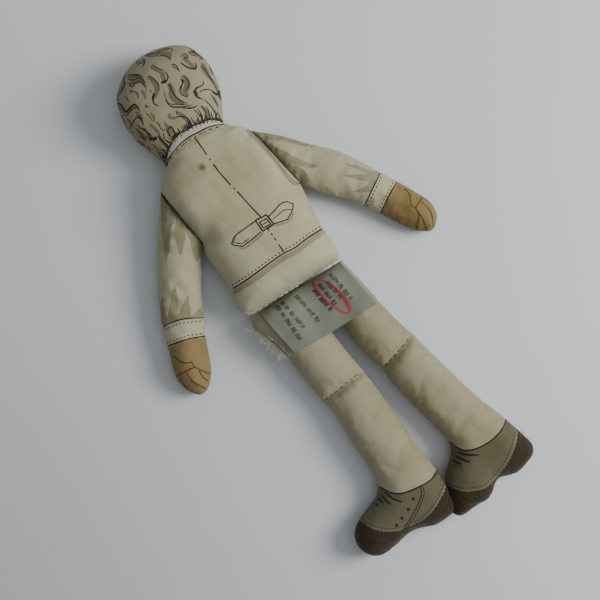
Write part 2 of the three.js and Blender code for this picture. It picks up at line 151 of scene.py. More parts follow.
        ('hair', 0.39, 1, [(-9.05, 63.62), (-8.14, 64.17), (-7.44, 64.1)]),
        ('hair', 0.3, 1, [(-10.46, 65.26), (-10.29, 64.33), (-9.47, 64.45)]),
        ('hair', 0.34, 1, [(-10.6, 63.85), (-11.31, 62.43), (-11.19, 60.85)]),
        ('hair', 0.3, 1, [(-3.68, 66.79), (-4.3, 66.1)]),
        ('hair', 0.47, 1, [(-4.36, 65.72), (-2.83, 64.57), (-2.02, 63.49), (-1.8, 62.04), (-2.35, 60.88)]),
        ('hair', 0.39, 1, [(-2.4, 63.17), (-2.73, 61.88), (-3.68, 60.98)]),
        ('hair', 0.34, 1, [(-5.74, 61.15), (-4.26, 61.72), (-3.48, 62.35)]),
        ('hair', 0.56, 1, [(-17.81, 80.03), (-17.07, 78.82), (-16.95, 77.24), (-16.96, 75.74), (-15.68, 75.69), (-14.45, 75.85), (-13.39, 75.74), (-13.01, 74.57), (-13.24, 73.02)]),
        ('hair', 0.34, 1, [(-18.06, 76.07), (-17.77, 74.76), (-16.71, 74.65), (-15.04, 74.91), (-13.72, 74.64), (-13.17, 73.73)]),
        ('hair', 0.3, 1, [(-18.49, 78.96), (-17.92, 77.48), (-17.8, 75.9)]),
        ('hair', 0.34, 1, [(-14.99, 72.63), (-14.39, 72.39), (-14.07, 71.11), (-14.0, 69.75)]),
        ('hair', 0.43, 1, [(-18.95, 70.82), (-17.16, 71.56), (-15.77, 71.99), (-14.71, 71.89), (-14.24, 70.84), (-14.46, 68.73)]),
        ('hair', 0.43, 1, [(-19.95, 74.26), (-20.0, 72.42), (-19.87, 70.84)]),
        ('hair', 0.26, 1, [(-19.19, 69.84), (-18.16, 69.38)]),
        ('hair', 0.47, 1, [(-10.53, 73.75), (-10.77, 73.07), (-10.02, 72.48)]),
        ('hair', 0.43, 1, [(-14.98, 68.49), (-14.75, 66.48), (-14.89, 65.07)]),
        ('hair', 0.34, 1, [(-17.55, 67.68), (-17.21, 66.15), (-16.88, 65.19)]),
        ('hair', 0.86, 1, [(-15.75, 64.3), (-14.49, 64.51), (-14.38, 63.8), (-13.45, 64.08), (-13.74, 63.21)]),
        ('hair', 0.34, 1, [(-17.59, 63.77), (-17.19, 62.02)]),
        ('hair', 0.34, 1, [(-19.7, 67.54), (-19.24, 66.5), (-18.77, 65.46)]),
        ('hair', 0.39, 1, [(-14.48, 66.31), (-14.37, 65.3), (-14.93, 64.71)]),
        ('hair', 0.3, 1, [(-15.37, 63.12), (-15.25, 61.54), (-14.78, 60.5)]),
        ('hair', 0.26, 1, [(-16.56, 68.37), (-16.6, 66.52), (-16.38, 64.5)]),
        ('hshade', 1.38, 1, [(-2.31, 88.24), (-2.06, 87.14), (0.07, 86.36), (2.72, 85.81), (4.85, 85.02)]),
        ('hshade', 1.2, 1, [(6.38, 79.74), (7.22, 78.09), (7.98, 75.73), (8.09, 74.73)]),
        ('hshade', 1.29, 1, [(-2.84, 82.95), (-1.91, 80.86), (-1.15, 78.5), (-1.29, 77.09)]),
        ('hshade', 1.01, 1, [(-10.44, 84.57), (-8.82, 82.98), (-7.37, 81.12), (-7.4, 78.7)]),
        ('hshade', 1.1, 1, [(3.78, 63.76), (4.18, 62.01), (3.73, 60.42)]),
        ('hshade', 1.2, 1, [(-8.84, 65.74), (-8.45, 63.99), (-8.76, 62.31)]),
        ('hshade', 0.92, 1, [(-17.19, 69.14), (-16.43, 66.79), (-15.23, 64.53)]),
        ('hshade', 1.1, 1, [(1.34, 84.81), (2.87, 83.09), (3.27, 81.34)]),
        ('hshade', 1.01, 1, [(10.09, 75.52), (9.98, 72.97), (10.4, 70.08)]),
        ('hshade', 0.92, 1, [(10.79, 68.33), (10.58, 66.21), (9.83, 64.43)]),
        ('hshade', 0.83, 1, [(-15.07, 83.18), (-16.52, 81.47), (-17.1, 79.96)]),
        ('hshade', 1.01, 1, [(-3.86, 67.09), (-3.03, 65.44), (-2.03, 64.06)]),
        ('hshade', 0.92, 1, [(-9.32, 78.04), (-9.19, 76.46), (-9.77, 74.95)]),
        ('hshade', 0.83, 1, [(-14.31, 73.7), (-13.75, 72.22), (-13.79, 70.37)]),
        ('hshade', 1.01, 1, [(-12.59, 68.11), (-12.1, 65.92), (-11.88, 63.91)]),
        ('hair', 0.43, 1, [(-2.26, 88.32), (-0.43, 88.55), (1.69, 88.33), (3.54, 87.69)]),
        ('hair', 0.47, 1, [(8.68, 84.55), (9.9, 82.92), (10.66, 81.16), (10.96, 79.85)]),
        ('hair', 0.43, 1, [(10.15, 80.36), (11.15, 78.98), (11.55, 77.23)]),
        ('hair', 0.34, 1, [(10.87, 76.16), (10.59, 73.34), (10.5, 69.64), (10.65, 66.92)]),
        ('hair', 0.39, 1, [(-10.46, 85.14), (-8.95, 83.96), (-7.51, 82.68), (-6.75, 80.92)]),
        ('hair', 0.34, 1, [(0.19, 84.78), (1.9, 83.92), (2.9, 82.54), (2.99, 81.14)]),
        ('hair', 0.34, 1, [(-2.48, 87.07), (-1.08, 85.73), (0.7, 84.99)]),
        ('hair', 0.39, 1, [(-5.07, 80.61), (-4.25, 78.59), (-4.02, 76.57), (-4.77, 74.79)]),
        ('hair', 0.39, 1, [(-0.9, 75.34), (-1.38, 73.4), (-1.59, 71.28), (-0.9, 68.82), (0.37, 67.27)]),
        ('hair', 0.34, 1, [(4.04, 74.85), (4.27, 72.83), (3.53, 71.42), (1.93, 70.56)]),
        ('hair', 0.34, 1, [(-15.44, 83.42), (-16.68, 81.94), (-17.37, 80.13)]),
        ('hair', 0.34, 1, [(-19.14, 76.75), (-18.91, 74.73), (-19.12, 72.61)]),
        ('hair', 0.39, 1, [(5.41, 65.73), (5.97, 64.25), (6.36, 62.5), (6.32, 60.66)]),
        ('hair', 0.34, 1, [(6.26, 62.94), (6.56, 61.63), (6.25, 59.95)]),
        ('hair', 0.34, 1, [(1.03, 64.75), (1.6, 63.27), (1.45, 61.86)]),
        ('hair', 0.34, 1, [(-10.65, 67.63), (-10.35, 66.32), (-10.76, 65.08)]),
        ('hair', 0.3, 1, [(-11.97, 71.47), (-11.41, 69.99), (-11.55, 68.58)]),
        ('hair', 0.39, 1, [(-1.66, 67.01), (-0.14, 65.86), (1.37, 65.28), (2.85, 65.25)]),
        ('hair', 0.34, 1, [(-11.46, 79.4), (-10.9, 77.91), (-11.48, 76.41)]),
        ('hair', 0.34, 1, [(-14.55, 79.85), (-14.25, 78.54), (-14.66, 77.3)]),
        ('hair', 0.43, 1, [(-16.08, 70.31), (-15.68, 68.56), (-14.68, 67.18)]),
        ('hair', 0.34, 1, [(-17.84, 74.05), (-17.54, 72.74), (-18.12, 71.23)]),
        ('hair', 0.35, 1, [(-14.5, 56.19), (-15.46, 57.7), (-16.18, 59.05)]),
        ('hair', 0.32, 1, [(-14.05, 56.55), (-14.81, 57.55), (-15.32, 58.17)]),
        ('hair', 0.3, 1, [(-13.95, 57.12), (-14.51, 57.85), (-15.05, 58.53)]),
        ('hair', 0.39, 1, [(-13.69, 57.29), (-14.32, 57.91), (-14.97, 58.36)]),
        ('hair', 0.32, 1, [(-13.26, 57.69), (-13.62, 58.48), (-13.89, 59.41)]),
        ('hair', 0.22, 1, [(-13.08, 57.73), (-13.37, 58.52), (-13.52, 59.36)]),
        ('hair', 0.3, 1, [(-12.04, 57.9), (-13.11, 59.4), (-14.19, 60.72)]),
        ('hair', 0.4, 1, [(-11.9, 58.18), (-12.21, 59.4), (-12.27, 60.44)]),
        ('hair', 0.21, 1, [(-11.35, 58.74), (-11.81, 59.63), (-12.37, 60.58)]),
        ('hair', 0.33, 1, [(-11.3, 58.89), (-11.63, 59.74), (-11.97, 60.74)]),
        ('hair', 0.25, 1, [(-10.48, 58.94), (-10.83, 60.1), (-11.01, 61.18)]),
        ('hair', 0.18, 1, [(-9.86, 58.92), (-10.48, 60.55), (-11.24, 61.89)]),
        ('hair', 0.26, 1, [(-9.11, 59.2), (-9.76, 60.85), (-10.6, 62.31)]),
        ('hair', 0.4, 1, [(-8.72, 59.7), (-9.13, 60.41), (-9.7, 61.07)]),
        ('hair', 0.25, 1, [(-8.23, 59.35), (-8.51, 61.1), (-8.55, 62.7)]),
        ('hair', 0.35, 1, [(-7.71, 60.0), (-7.71, 61.12), (-7.62, 62.45)]),
        ('hair', 0.19, 1, [(-6.72, 59.6), (-7.15, 61.41), (-7.75, 63.02)]),
        ('hair', 0.39, 1, [(-6.43, 60.01), (-6.38, 61.33), (-6.17, 62.74)]),
        ('hair', 0.19, 1, [(-5.66, 60.16), (-5.84, 61.18), (-6.15, 62.23)]),
        ('hair', 0.18, 1, [(-5.32, 60.21), (-5.08, 61.49), (-4.68, 62.96)]),
        ('hair', 0.31, 1, [(-4.23, 60.16), (-4.28, 61.39), (-4.36, 62.68)]),
        ('hair', 0.39, 1, [(-3.75, 60.27), (-3.76, 61.33), (-3.85, 62.55)]),
        ('hair', 0.34, 1, [(-3.63, 60.23), (-3.44, 61.35), (-3.16, 62.63)]),
        ('hair', 0.27, 1, [(-2.4, 60.21), (-2.21, 61.4), (-1.86, 62.79)]),
        ('hair', 0.41, 1, [(-2.28, 59.98), (-2.27, 61.55), (-2.36, 63.18)]),
        ('hair', 0.34, 1, [(-1.16, 59.91), (-1.07, 61.54), (-0.99, 63.33)]),
        ('hair', 0.26, 1, [(-0.74, 60.05), (-0.71, 61.05), (-0.72, 62.1)]),
        ('hair', 0.25, 1, [(0.2, 59.76), (0.45, 61.4), (0.75, 63.12)]),
        ('hair', 0.26, 1, [(0.25, 59.54), (0.52, 60.91), (0.89, 61.91)]),
        ('hair', 0.35, 1, [(1.36, 59.51), (1.62, 61.11), (1.96, 62.66)]),
        ('hair', 0.35, 1, [(1.74, 59.58), (1.82, 61.06), (1.78, 62.55)]),
        ('hair', 0.31, 1, [(2.47, 59.3), (2.93, 60.51), (3.57, 61.46)]),
        ('hair', 0.28, 1, [(2.66, 59.26), (2.88, 60.73), (2.97, 62.06)]),
        ('hair', 0.32, 1, [(3.78, 59.19), (4.22, 60.48), (4.8, 61.81)]),
        ('hair', 0.38, 1, [(4.16, 58.72), (4.88, 60.33), (5.47, 61.87)]),
        ('hair', 0.3, 1, [(4.9, 58.59), (5.8, 60.01), (6.95, 61.42)]),
        ('hair', 0.33, 1, [(5.23, 58.46), (6.09, 59.75), (7.15, 61.07)]),
        ('hair', 0.31, 1, [(6.21, 57.76), (6.8, 59.34), (7.2, 60.81)]),
        ('collar', 0, 0, [(-16.28, 55.63), (-14.43, 56.9), (-12.16, 58.84), (-9.32, 60.23), (-6.34, 60.97), (-3.62, 60.94), (-1.16, 60.69), (2.35, 60.31), (4.8, 59.44), (7.08, 58.3), (7.46, 56.82), (4.1, 57.74), (1.1, 58.33), (-1.81, 58.48), (-4.4, 58.65), (-7.43, 58.47), (-10.71, 57.74), (-13.81, 56.69), (-15.8, 55.33)]),
        ('ink', 0.41, 0, [(-15.91, 55.39), (-13.51, 56.88), (-10.55, 57.82), (-7.4, 58.53), (-4.36, 58.71), (-1.62, 58.48), (1.13, 58.38), (4.15, 57.82), (7.31, 56.88)]),
        ('ink', 0.37, 0, [(-13.49, 56.3), (-12.6, 56.71)]),
        ('ink', 0.37, 0, [(-10.5, 57.19), (-9.59, 57.44)]),
        ('ink', 0.37, 0, [(-8.38, 57.57), (-7.17, 57.71)]),
        ('ink', 0.37, 0, [(-5.56, 57.89), (-4.61, 57.89)]),
        ('ink', 0.37, 0, [(-1.59, 57.63), (-0.32, 57.57)]),
        ('ink', 0.37, 0, [(0.02, 57.51), (0.93, 57.46)]),
        ('ink', 0.37, 0, [(1.83, 57.42), (2.91, 57.34)]),
        ('ink', 0.37, 0, [(-6.97, 57.73), (-6.25, 57.8)]),
        ('ink', 0.37, 0, [(-3.42, 57.7), (-2.53, 57.7)]),
        ('ink', 0.37, 0, [(4.02, 57.01), (5.04, 56.85)]),
        ('ink', 0.43, 0, [(-3.23, 57.77), (-3.12, 54.32), (-2.93, 50.83)]),
        ('ink', 0.43, 0, [(-2.82, 47.15), (-2.59, 44.01), (-2.17, 41.42), (-1.72, 38.81)]),
        ('ink', 0.43, 0, [(-2.91, 49.31), (-2.89, 48.7)]),
        ('ink', 0.43, 0, [(-1.46, 37.67), (-1.36, 37.01)]),
        ('ink', 0.43, 0, [(-1.1, 36.17), (-0.18, 30.79), (0.83, 25.57)]),
        ('ink', 0.43, 0, [(0.71, 21.52), (0.82, 20.63)]),
        ('ink', 0.43, 0, [(0.84, 19.72), (0.9, 18.85)]),
        ('ink', 0.43, 0, [(0.92, 17.94), (0.94, 17.03)]),
        ('ink', 0.43, 0, [(0.94, 15.6), (1.06, 14.25), (1.17, 12.76)]),
        ('stain2', 0, 0, [(-6.81, 49.38), (-5.6, 49.51), (-5.1, 48.52), (-5.25, 47.34), (-6.41, 46.8), (-7.19, 47.59), (-7.41, 48.78)]),
        ('stain', 0, 0, [(-6.41, 48.83), (-5.81, 48.82), (-5.55, 48.28), (-5.82, 47.63), (-6.43, 47.49), (-6.78, 48.01), (-6.75, 48.52)]),
        ('belt', 0, 0, [(-0.86, 25.44), (-8.4, 25.03), (-11.35, 23.22), (-8.7, 20.94), (-1.6, 21.78)]),
        ('belt', 0, 0, [(3.2, 24.45), (7.68, 25.78), (10.55, 25.35), (11.8, 23.7), (9.88, 21.8), (7.57, 20.64), (3.14, 21.57)]),
        ('oshade2', 0, 0, [(-10.11, 21.61), (-8.54, 20.54), (-4.97, 20.84), (-1.45, 21.31), (-1.14, 20.74), (-4.94, 20.0), (-8.47, 19.82), (-10.18, 20.91)]),
        ('oshade2', 0, 0, [(3.46, 21.13), (7.56, 20.27), (9.98, 21.59), (10.22, 21.14), (7.82, 19.73), (3.43, 20.48)]),
        ('ink', 0.39, 0, [(-0.77, 25.45), (-2.94, 25.33), (-5.11, 25.21)]),
        ('ink', 0.39, 0, [(-4.92, 25.22), (-6.71, 25.13), (-8.49, 25.03)]),
        ('ink', 0.39, 0, [(-8.31, 25.06), (-9.15, 24.79), (-9.99, 24.53)]),
        ('ink', 0.39, 0, [(-9.83, 24.62), (-10.59, 23.94), (-11.35, 23.26)]),
        ('ink', 0.39, 0, [(-11.33, 23.4), (-10.94, 22.85), (-10.55, 22.3)]),
        ('ink', 0.39, 0, [(-10.68, 22.43), (-9.65, 21.66), (-8.62, 20.89)]),
        ('ink', 0.39, 0, [(-8.79, 20.94), (-7.19, 21.04), (-5.59, 21.15)]),
        ('ink', 0.39, 0, [(-5.78, 21.13), (-3.68, 21.41), (-1.58, 21.69)]),
        ('ink', 0.39, 0, [(3.1, 24.43), (4.29, 24.73), (5.48, 25.04)]),
        ('ink', 0.39, 0, [(5.3, 24.99), (6.52, 25.37), (7.73, 25.76)]),
        ('ink', 0.39, 0, [(7.55, 25.73), (8.43, 25.73), (9.32, 25.74)]),
        ('ink', 0.39, 0, [(9.13, 25.77), (9.89, 25.55), (10.65, 25.32)]),
        ('ink', 0.39, 0, [(10.5, 25.43), (11.14, 24.57), (11.79, 23.7)]),
        ('ink', 0.39, 0, [(11.79, 23.85), (11.31, 23.22), (10.82, 22.59)]),
        ('ink', 0.39, 0, [(10.96, 22.73), (10.3, 22.21), (9.63, 21.7)]),
        ('ink', 0.39, 0, [(9.79, 21.8), (8.64, 21.2), (7.49, 20.59)]),
        ('ink', 0.39, 0, [(7.67, 20.62), (6.54, 20.84), (5.41, 21.06)]),
        ('ink', 0.39, 0, [(5.6, 21.02), (4.39, 21.3), (3.18, 21.57)]),
        ('ink', 0.28, 0, [(3.75, 22.97), (4.92, 23.17), (6.09, 23.37)]),
        ('ink', 0.28, 0, [(5.9, 23.35), (6.93, 23.48), (7.96, 23.61)]),
        ('ink', 0.28, 0, [(7.78, 23.62), (8.58, 23.41), (9.38, 23.2)]),
        ('ink', 0.28, 0, [(9.21, 23.28), (9.86, 22.83), (10.51, 22.37)]),
        ('ink', 0.28, 0, [(-9.09, 24.6), (-9.84, 23.99), (-10.6, 23.39)]),
        ('ink', 0.28, 0, [(-10.6, 23.51), (-9.54, 22.57), (-8.49, 21.62)]),
        ('ink', 0.28, 0, [(-8.66, 21.68), (-7.2, 21.76), (-5.75, 21.85)]),
        ('ink', 0.51, 0, [(-1.17, 25.59), (0.81, 25.42), (2.79, 25.25)]),
        ('ink', 0.51, 0, [(2.68, 25.35), (2.91, 23.41), (3.15, 21.47)]),
        ('ink', 0.51, 0, [(3.23, 21.56), (1.07, 21.59), (-1.09, 21.62)]),
        ('ink', 0.51, 0, [(-0.99, 21.53), (-1.06, 23.62), (-1.14, 25.71)]),
        ('ink', 0.41, 0, [(-0.41, 24.43), (0.9, 24.33), (2.22, 24.22)]),
        ('ink', 0.41, 0, [(2.11, 24.33), (2.24, 23.18), (2.38, 22.03)]),
        ('ink', 0.41, 0, [(2.46, 22.12), (1.03, 22.22), (-0.39, 22.32)]),
        ('ink', 0.41, 0, [(-0.29, 22.21), (-0.33, 23.38), (-0.37, 24.55)]),
        ('ink', 0.32, 0, [(-0.4, 23.37), (1.03, 23.27), (2.45, 23.18)]),
        ('ink', 0.28, 0, [(-8.95, 23.8), (-8.84, 23.51)]),
        ('ink', 0.28, 0, [(-7.61, 23.56), (-7.49, 23.26)]),
        ('ink', 0.28, 0, [(-8.87, 22.63), (-8.76, 22.33)]),
        ('ink', 0.28, 0, [(-7.19, 22.32), (-7.08, 22.02)]),
        ('oshade2', 0, 0, [(-18.76, 11.25), (-15.24, 11.13), (-9.34, 11.38), (-3.63, 11.82), (0.49, 11.99), (4.27, 11.62), (9.18, 12.08), (15.06, 12.19), (14.9, 10.98), (8.75, 10.51), (3.81, 10.11), (-0.01, 10.43), (-4.22, 10.16), (-9.9, 9.78), (-14.98, 9.76), (-18.85, 9.81)]),
        ('ink', 0.47, 0, [(-18.72, 11.79), (-14.93, 11.61), (-9.02, 11.89), (-3.32, 12.3), (0.78, 12.44), (4.56, 12.08), (9.47, 12.54), (15.54, 12.6)]),
        ('ink', 0.37, 0, [(-18.32, 12.78), (-18.02, 12.76), (-17.72, 12.75)]),
        ('ink', 0.37, 0, [(-17.05, 12.72), (-16.75, 12.7), (-16.45, 12.69)]),
        ('ink', 0.37, 0, [(-15.79, 12.66), (-15.49, 12.64), (-15.19, 12.63)]),
        ('ink', 0.37, 0, [(-14.52, 12.6), (-14.22, 12.61), (-13.92, 12.62)]),
        ('ink', 0.37, 0, [(-13.25, 12.65), (-12.95, 12.66), (-12.65, 12.67)]),
        ('ink', 0.37, 0, [(-11.99, 12.7), (-11.69, 12.72), (-11.39, 12.73)]),
        ('ink', 0.37, 0, [(-10.72, 12.76), (-10.42, 12.77), (-10.12, 12.78)]),
        ('ink', 0.37, 0, [(-9.45, 12.81), (-9.15, 12.82), (-8.85, 12.83)]),
        ('ink', 0.37, 0, [(-8.19, 12.88), (-7.89, 12.9), (-7.59, 12.92)]),
        ('ink', 0.37, 0, [(-6.92, 12.96), (-6.62, 12.98), (-6.32, 13.0)]),
        ('ink', 0.37, 0, [(-5.66, 13.04), (-5.36, 13.06), (-5.06, 13.08)]),
        ('ink', 0.37, 0, [(-4.39, 13.12), (-4.09, 13.14), (-3.79, 13.16)]),
        ('ink', 0.37, 0, [(-3.13, 13.2), (-2.83, 13.21), (-2.52, 13.21)]),
        ('ink', 0.37, 0, [(-1.86, 13.23), (-1.56, 13.24), (-1.26, 13.24)]),
        ('ink', 0.37, 0, [(-0.59, 13.26), (-0.29, 13.27), (0.01, 13.28)]),
        ('ink', 0.37, 0, [(0.68, 13.29), (0.98, 13.29), (1.28, 13.27)]),
        ('ink', 0.37, 0, [(1.94, 13.21), (2.24, 13.18), (2.54, 13.16)]),
        ('ink', 0.37, 0, [(3.2, 13.1), (3.5, 13.08), (3.8, 13.05)]),
        ('ink', 0.37, 0, [(4.47, 12.99), (4.77, 13.0), (5.07, 13.02)]),
        ('ink', 0.37, 0, [(5.73, 13.09), (6.03, 13.11), (6.33, 13.14)]),
        ('ink', 0.37, 0, [(6.99, 13.2), (7.29, 13.23), (7.59, 13.26)]),
        ('ink', 0.37, 0, [(8.26, 13.32), (8.56, 13.35), (8.85, 13.38)]),
        ('ink', 0.37, 0, [(9.52, 13.44), (9.82, 13.44), (10.12, 13.45)]),
        ('ink', 0.37, 0, [(10.79, 13.47), (11.09, 13.47), (11.39, 13.48)]),
        ('ink', 0.37, 0, [(12.05, 13.5), (12.35, 13.5), (12.66, 13.51)]),
        ('ink', 0.37, 0, [(13.32, 13.53), (13.62, 13.54), (13.92, 13.54)]),
        ('ink', 0.37, 0, [(14.59, 13.56), (14.89, 13.57), (15.18, 13.57)]),
        ('oshade', 0, 0, [(13.07, 50.57), (14.42, 40.61), (15.52, 31.06), (16.87, 28.34), (15.77, 28.5), (14.39, 30.95), (13.2, 40.33), (11.81, 49.53), (11.71, 51.62)]),
        ('ink', 0.2, 0, [(12.97, 51.13), (14.3, 41.13), (15.65, 31.28), (17.11, 28.48)]),
        ('ink', 0.2, 0, [(-21.67, 49.77), (-20.55, 39.39), (-19.14, 29.05)]),
        ('oshade', 0, 0, [(-21.97, 48.76), (-21.01, 38.78), (-19.65, 28.47), (-19.96, 27.39), (-20.82, 30.18), (-22.12, 38.81), (-22.71, 47.13)]),
    ],
    'armR': [
        ('oshade', 0, 0, [(13.33, 50.98), (15.9, 49.12), (15.55, 46.19), (16.91, 41.21), (17.82, 35.54), (18.56, 30.42), (17.58, 28.04), (15.78, 31.12), (14.55, 41.05)]),
        ('oshade', 0, 0, [(15.84, 49.01), (20.02, 44.95), (24.22, 39.74), (27.06, 35.92), (23.04, 39.06), (19.3, 43.22), (15.75, 45.32)]),
        ('oshade', 0, 0, [(16.37, 41.55), (18.54, 39.05), (21.04, 34.7), (24.91, 30.15), (22.9, 30.52), (19.49, 33.43), (17.02, 36.64), (15.89, 39.6)]),
        ('oshade', 0, 0, [(17.41, 34.89), (19.75, 32.66), (20.54, 29.16), (18.82, 27.63), (17.55, 29.18), (16.93, 32.95)]),
        ('ink', 0.28, 0, [(13.19, 50.76), (14.67, 41.12), (16.02, 31.27), (17.42, 28.51)]),
        ('oshade', 0, 0, [(40.71, 17.76), (38.0, 20.0), (35.16, 23.82), (32.39, 25.95), (34.69, 22.47), (36.42, 19.88), (32.7, 21.7), (29.92, 23.24), (32.72, 19.96), (35.43, 17.12), (32.87, 16.64), (29.62, 17.42), (32.73, 15.23), (34.74, 13.66), (31.06, 11.64), (31.97, 10.46), (36.05, 13.36)]),
        ('cuff', 0, 0, [(41.04, 17.93), (42.4, 15.34), (43.88, 12.76), (41.01, 11.35), (38.14, 9.79), (34.16, 7.05), (32.46, 9.1), (30.8, 11.58), (33.6, 13.4), (36.76, 15.31)]),
        ('ink', 0.41, 0, [(40.93, 18.0), (36.81, 15.5), (33.5, 13.47), (30.73, 11.47)]),
        ('ink', 0.41, 0, [(43.86, 12.77), (40.95, 11.38), (38.09, 9.82), (33.99, 7.01)]),
        ('ink', 0.32, 0, [(41.29, 17.25), (41.03, 17.09), (40.77, 16.94)]),
        ('ink', 0.32, 0, [(40.23, 16.61), (39.97, 16.45), (39.71, 16.3)]),
        ('ink', 0.32, 0, [(39.17, 15.97), (38.91, 15.82), (38.65, 15.66)]),
        ('ink', 0.32, 0, [(38.11, 15.33), (37.85, 15.18), (37.6, 15.02)]),
        ('ink', 0.32, 0, [(37.05, 14.69), (36.8, 14.53), (36.54, 14.38)]),
        ('ink', 0.32, 0, [(36.0, 14.04), (35.74, 13.89), (35.49, 13.73)]),
        ('ink', 0.32, 0, [(34.95, 13.4), (34.69, 13.24), (34.43, 13.08)]),
        ('ink', 0.32, 0, [(33.9, 12.75), (33.65, 12.58), (33.4, 12.4)]),
        ('ink', 0.32, 0, [(32.88, 12.05), (32.63, 11.88), (32.38, 11.7)]),
        ('ink', 0.32, 0, [(31.86, 11.35), (31.61, 11.17), (31.36, 11.0)]),
        ('ink', 0.32, 0, [(43.47, 13.47), (43.2, 13.34), (42.93, 13.21)]),
        ('ink', 0.32, 0, [(42.35, 12.94), (42.08, 12.81), (41.81, 12.68)]),
        ('ink', 0.32, 0, [(41.23, 12.41), (40.96, 12.29), (40.69, 12.16)]),
        ('ink', 0.32, 0, [(40.13, 11.87), (39.86, 11.72), (39.6, 11.58)]),
        ('ink', 0.32, 0, [(39.04, 11.27), (38.78, 11.13), (38.51, 10.98)]),
        ('ink', 0.32, 0, [(37.96, 10.68), (37.69, 10.54), (37.44, 10.37)]),
        ('ink', 0.32, 0, [(36.92, 10.01), (36.67, 9.84), (36.42, 9.67)]),
        ('ink', 0.32, 0, [(35.9, 9.3), (35.66, 9.13), (35.41, 8.96)]),
        ('ink', 0.32, 0, [(34.89, 8.6), (34.64, 8.43), (34.39, 8.26)]),
        ('hand', 0, 0, [(44.0, 12.76), (48.08, 6.88), (50.24, 1.39), (49.91, -3.28), (45.62, -7.69), (40.53, -4.47), (36.96, 0.56), (33.87, 6.71), (38.2, 9.75), (41.06, 11.32)]),
        ('tline', 0.42, 0, [(44.03, 9.44), (44.56, 8.43), (44.42, 6.79), (43.24, 4.09), (43.74, 2.38)]),
        ('tline', 0.42, 0, [(43.74, 2.38), (45.83, 3.31), (47.92, 4.24)]),
        ('tline', 0.42, 0, [(43.74, 2.38), (43.71, 0.56), (42.73, -1.18), (40.94, -3.46)]),
        ('tline', 0.42, 0, [(43.71, 0.56), (43.9, -1.51), (43.46, -5.12)]),
        ('tline', 0.42, 0, [(46.52, 2.99), (47.19, 0.96), (47.15, -1.83), (45.78, -5.54)]),
        ('tline', 0.42, 0, [(47.92, 4.02), (48.87, 2.25), (49.35, -0.3)]),
    ],
    'armL': [
        ('oshade', 0, 0, [(-21.94, 49.42), (-21.35, 44.77), (-20.61, 38.82), (-19.48, 29.34), (-20.24, 27.19), (-21.33, 29.38), (-21.83, 35.7), (-22.28, 39.73), (-25.39, 37.2), (-28.81, 32.61), (-31.97, 30.11), (-28.99, 36.48), (-25.35, 43.55)]),
        ('oshade', 0, 0, [(-22.09, 38.86), (-21.8, 34.56), (-24.27, 31.24), (-27.04, 29.24), (-26.33, 31.79), (-24.99, 35.45)]),
        ('oshade', 0, 0, [(-21.24, 33.08), (-20.26, 28.7), (-21.34, 26.39), (-23.77, 24.92), (-23.15, 28.28)]),
        ('ink', 0.24, 0, [(-21.96, 49.5), (-20.85, 39.28), (-19.38, 28.9)]),
        ('oshade', 0, 0, [(-44.43, 13.6), (-41.98, 18.43), (-38.64, 21.57), (-40.14, 18.02), (-41.03, 14.83), (-37.17, 19.14), (-33.4, 22.38), (-35.3, 17.96), (-37.56, 14.14), (-34.2, 16.14), (-31.78, 17.24), (-33.44, 13.78), (-34.26, 11.3), (-30.92, 12.19), (-31.76, 8.97), (-35.23, 10.94), (-38.15, 12.26), (-41.4, 13.04)]),
        ('cuff', 0, 0, [(-44.69, 13.43), (-41.44, 12.99), (-38.18, 12.21), (-34.95, 10.8), (-31.47, 8.94), (-34.36, 3.72), (-38.52, 5.63), (-42.16, 6.62), (-46.36, 7.4)]),
        ('ink', 0.41, 0, [(-44.76, 13.44), (-41.42, 13.02), (-38.15, 12.26), (-34.93, 10.83), (-31.42, 8.91)]),
        ('ink', 0.41, 0, [(-46.46, 7.43), (-42.18, 6.6), (-38.53, 5.6), (-34.28, 3.67)]),
        ('ink', 0.32, 0, [(-44.94, 12.43), (-44.65, 12.38), (-44.35, 12.33)]),
        ('ink', 0.32, 0, [(-43.73, 12.22), (-43.43, 12.17), (-43.13, 12.12)]),
        ('ink', 0.32, 0, [(-42.51, 12.01), (-42.21, 11.96), (-41.91, 11.9)]),
        ('ink', 0.32, 0, [(-41.29, 11.8), (-40.99, 11.74), (-40.7, 11.69)]),
        ('ink', 0.32, 0, [(-40.07, 11.58), (-39.77, 11.53), (-39.48, 11.48)]),
        ('ink', 0.32, 0, [(-38.85, 11.37), (-38.57, 11.28), (-38.3, 11.14)]),
        ('ink', 0.32, 0, [(-37.73, 10.87), (-37.46, 10.73), (-37.19, 10.6)]),
        ('ink', 0.32, 0, [(-36.62, 10.32), (-36.35, 10.19), (-36.08, 10.06)]),
        ('ink', 0.32, 0, [(-35.51, 9.78), (-35.24, 9.65), (-34.97, 9.52)]),
        ('ink', 0.32, 0, [(-34.4, 9.24), (-34.12, 9.11), (-33.85, 8.98)]),
        ('ink', 0.32, 0, [(-33.28, 8.7), (-33.01, 8.57), (-32.74, 8.44)]),
        ('ink', 0.32, 0, [(-45.9, 8.31), (-45.6, 8.25), (-45.31, 8.19)]),
        ('ink', 0.32, 0, [(-44.69, 8.06), (-44.39, 8.0), (-44.1, 7.94)]),
        ('ink', 0.32, 0, [(-43.48, 7.81), (-43.18, 7.74), (-42.89, 7.68)]),
        ('ink', 0.32, 0, [(-42.27, 7.55), (-41.97, 7.49), (-41.68, 7.43)]),
        ('ink', 0.32, 0, [(-41.06, 7.27), (-40.77, 7.19), (-40.48, 7.12)]),
        ('ink', 0.32, 0, [(-39.87, 6.96), (-39.58, 6.88), (-39.29, 6.8)]),
        ('ink', 0.32, 0, [(-38.67, 6.64), (-38.38, 6.56), (-38.09, 6.49)]),
        ('ink', 0.32, 0, [(-37.51, 6.24), (-37.24, 6.11), (-36.96, 5.98)]),
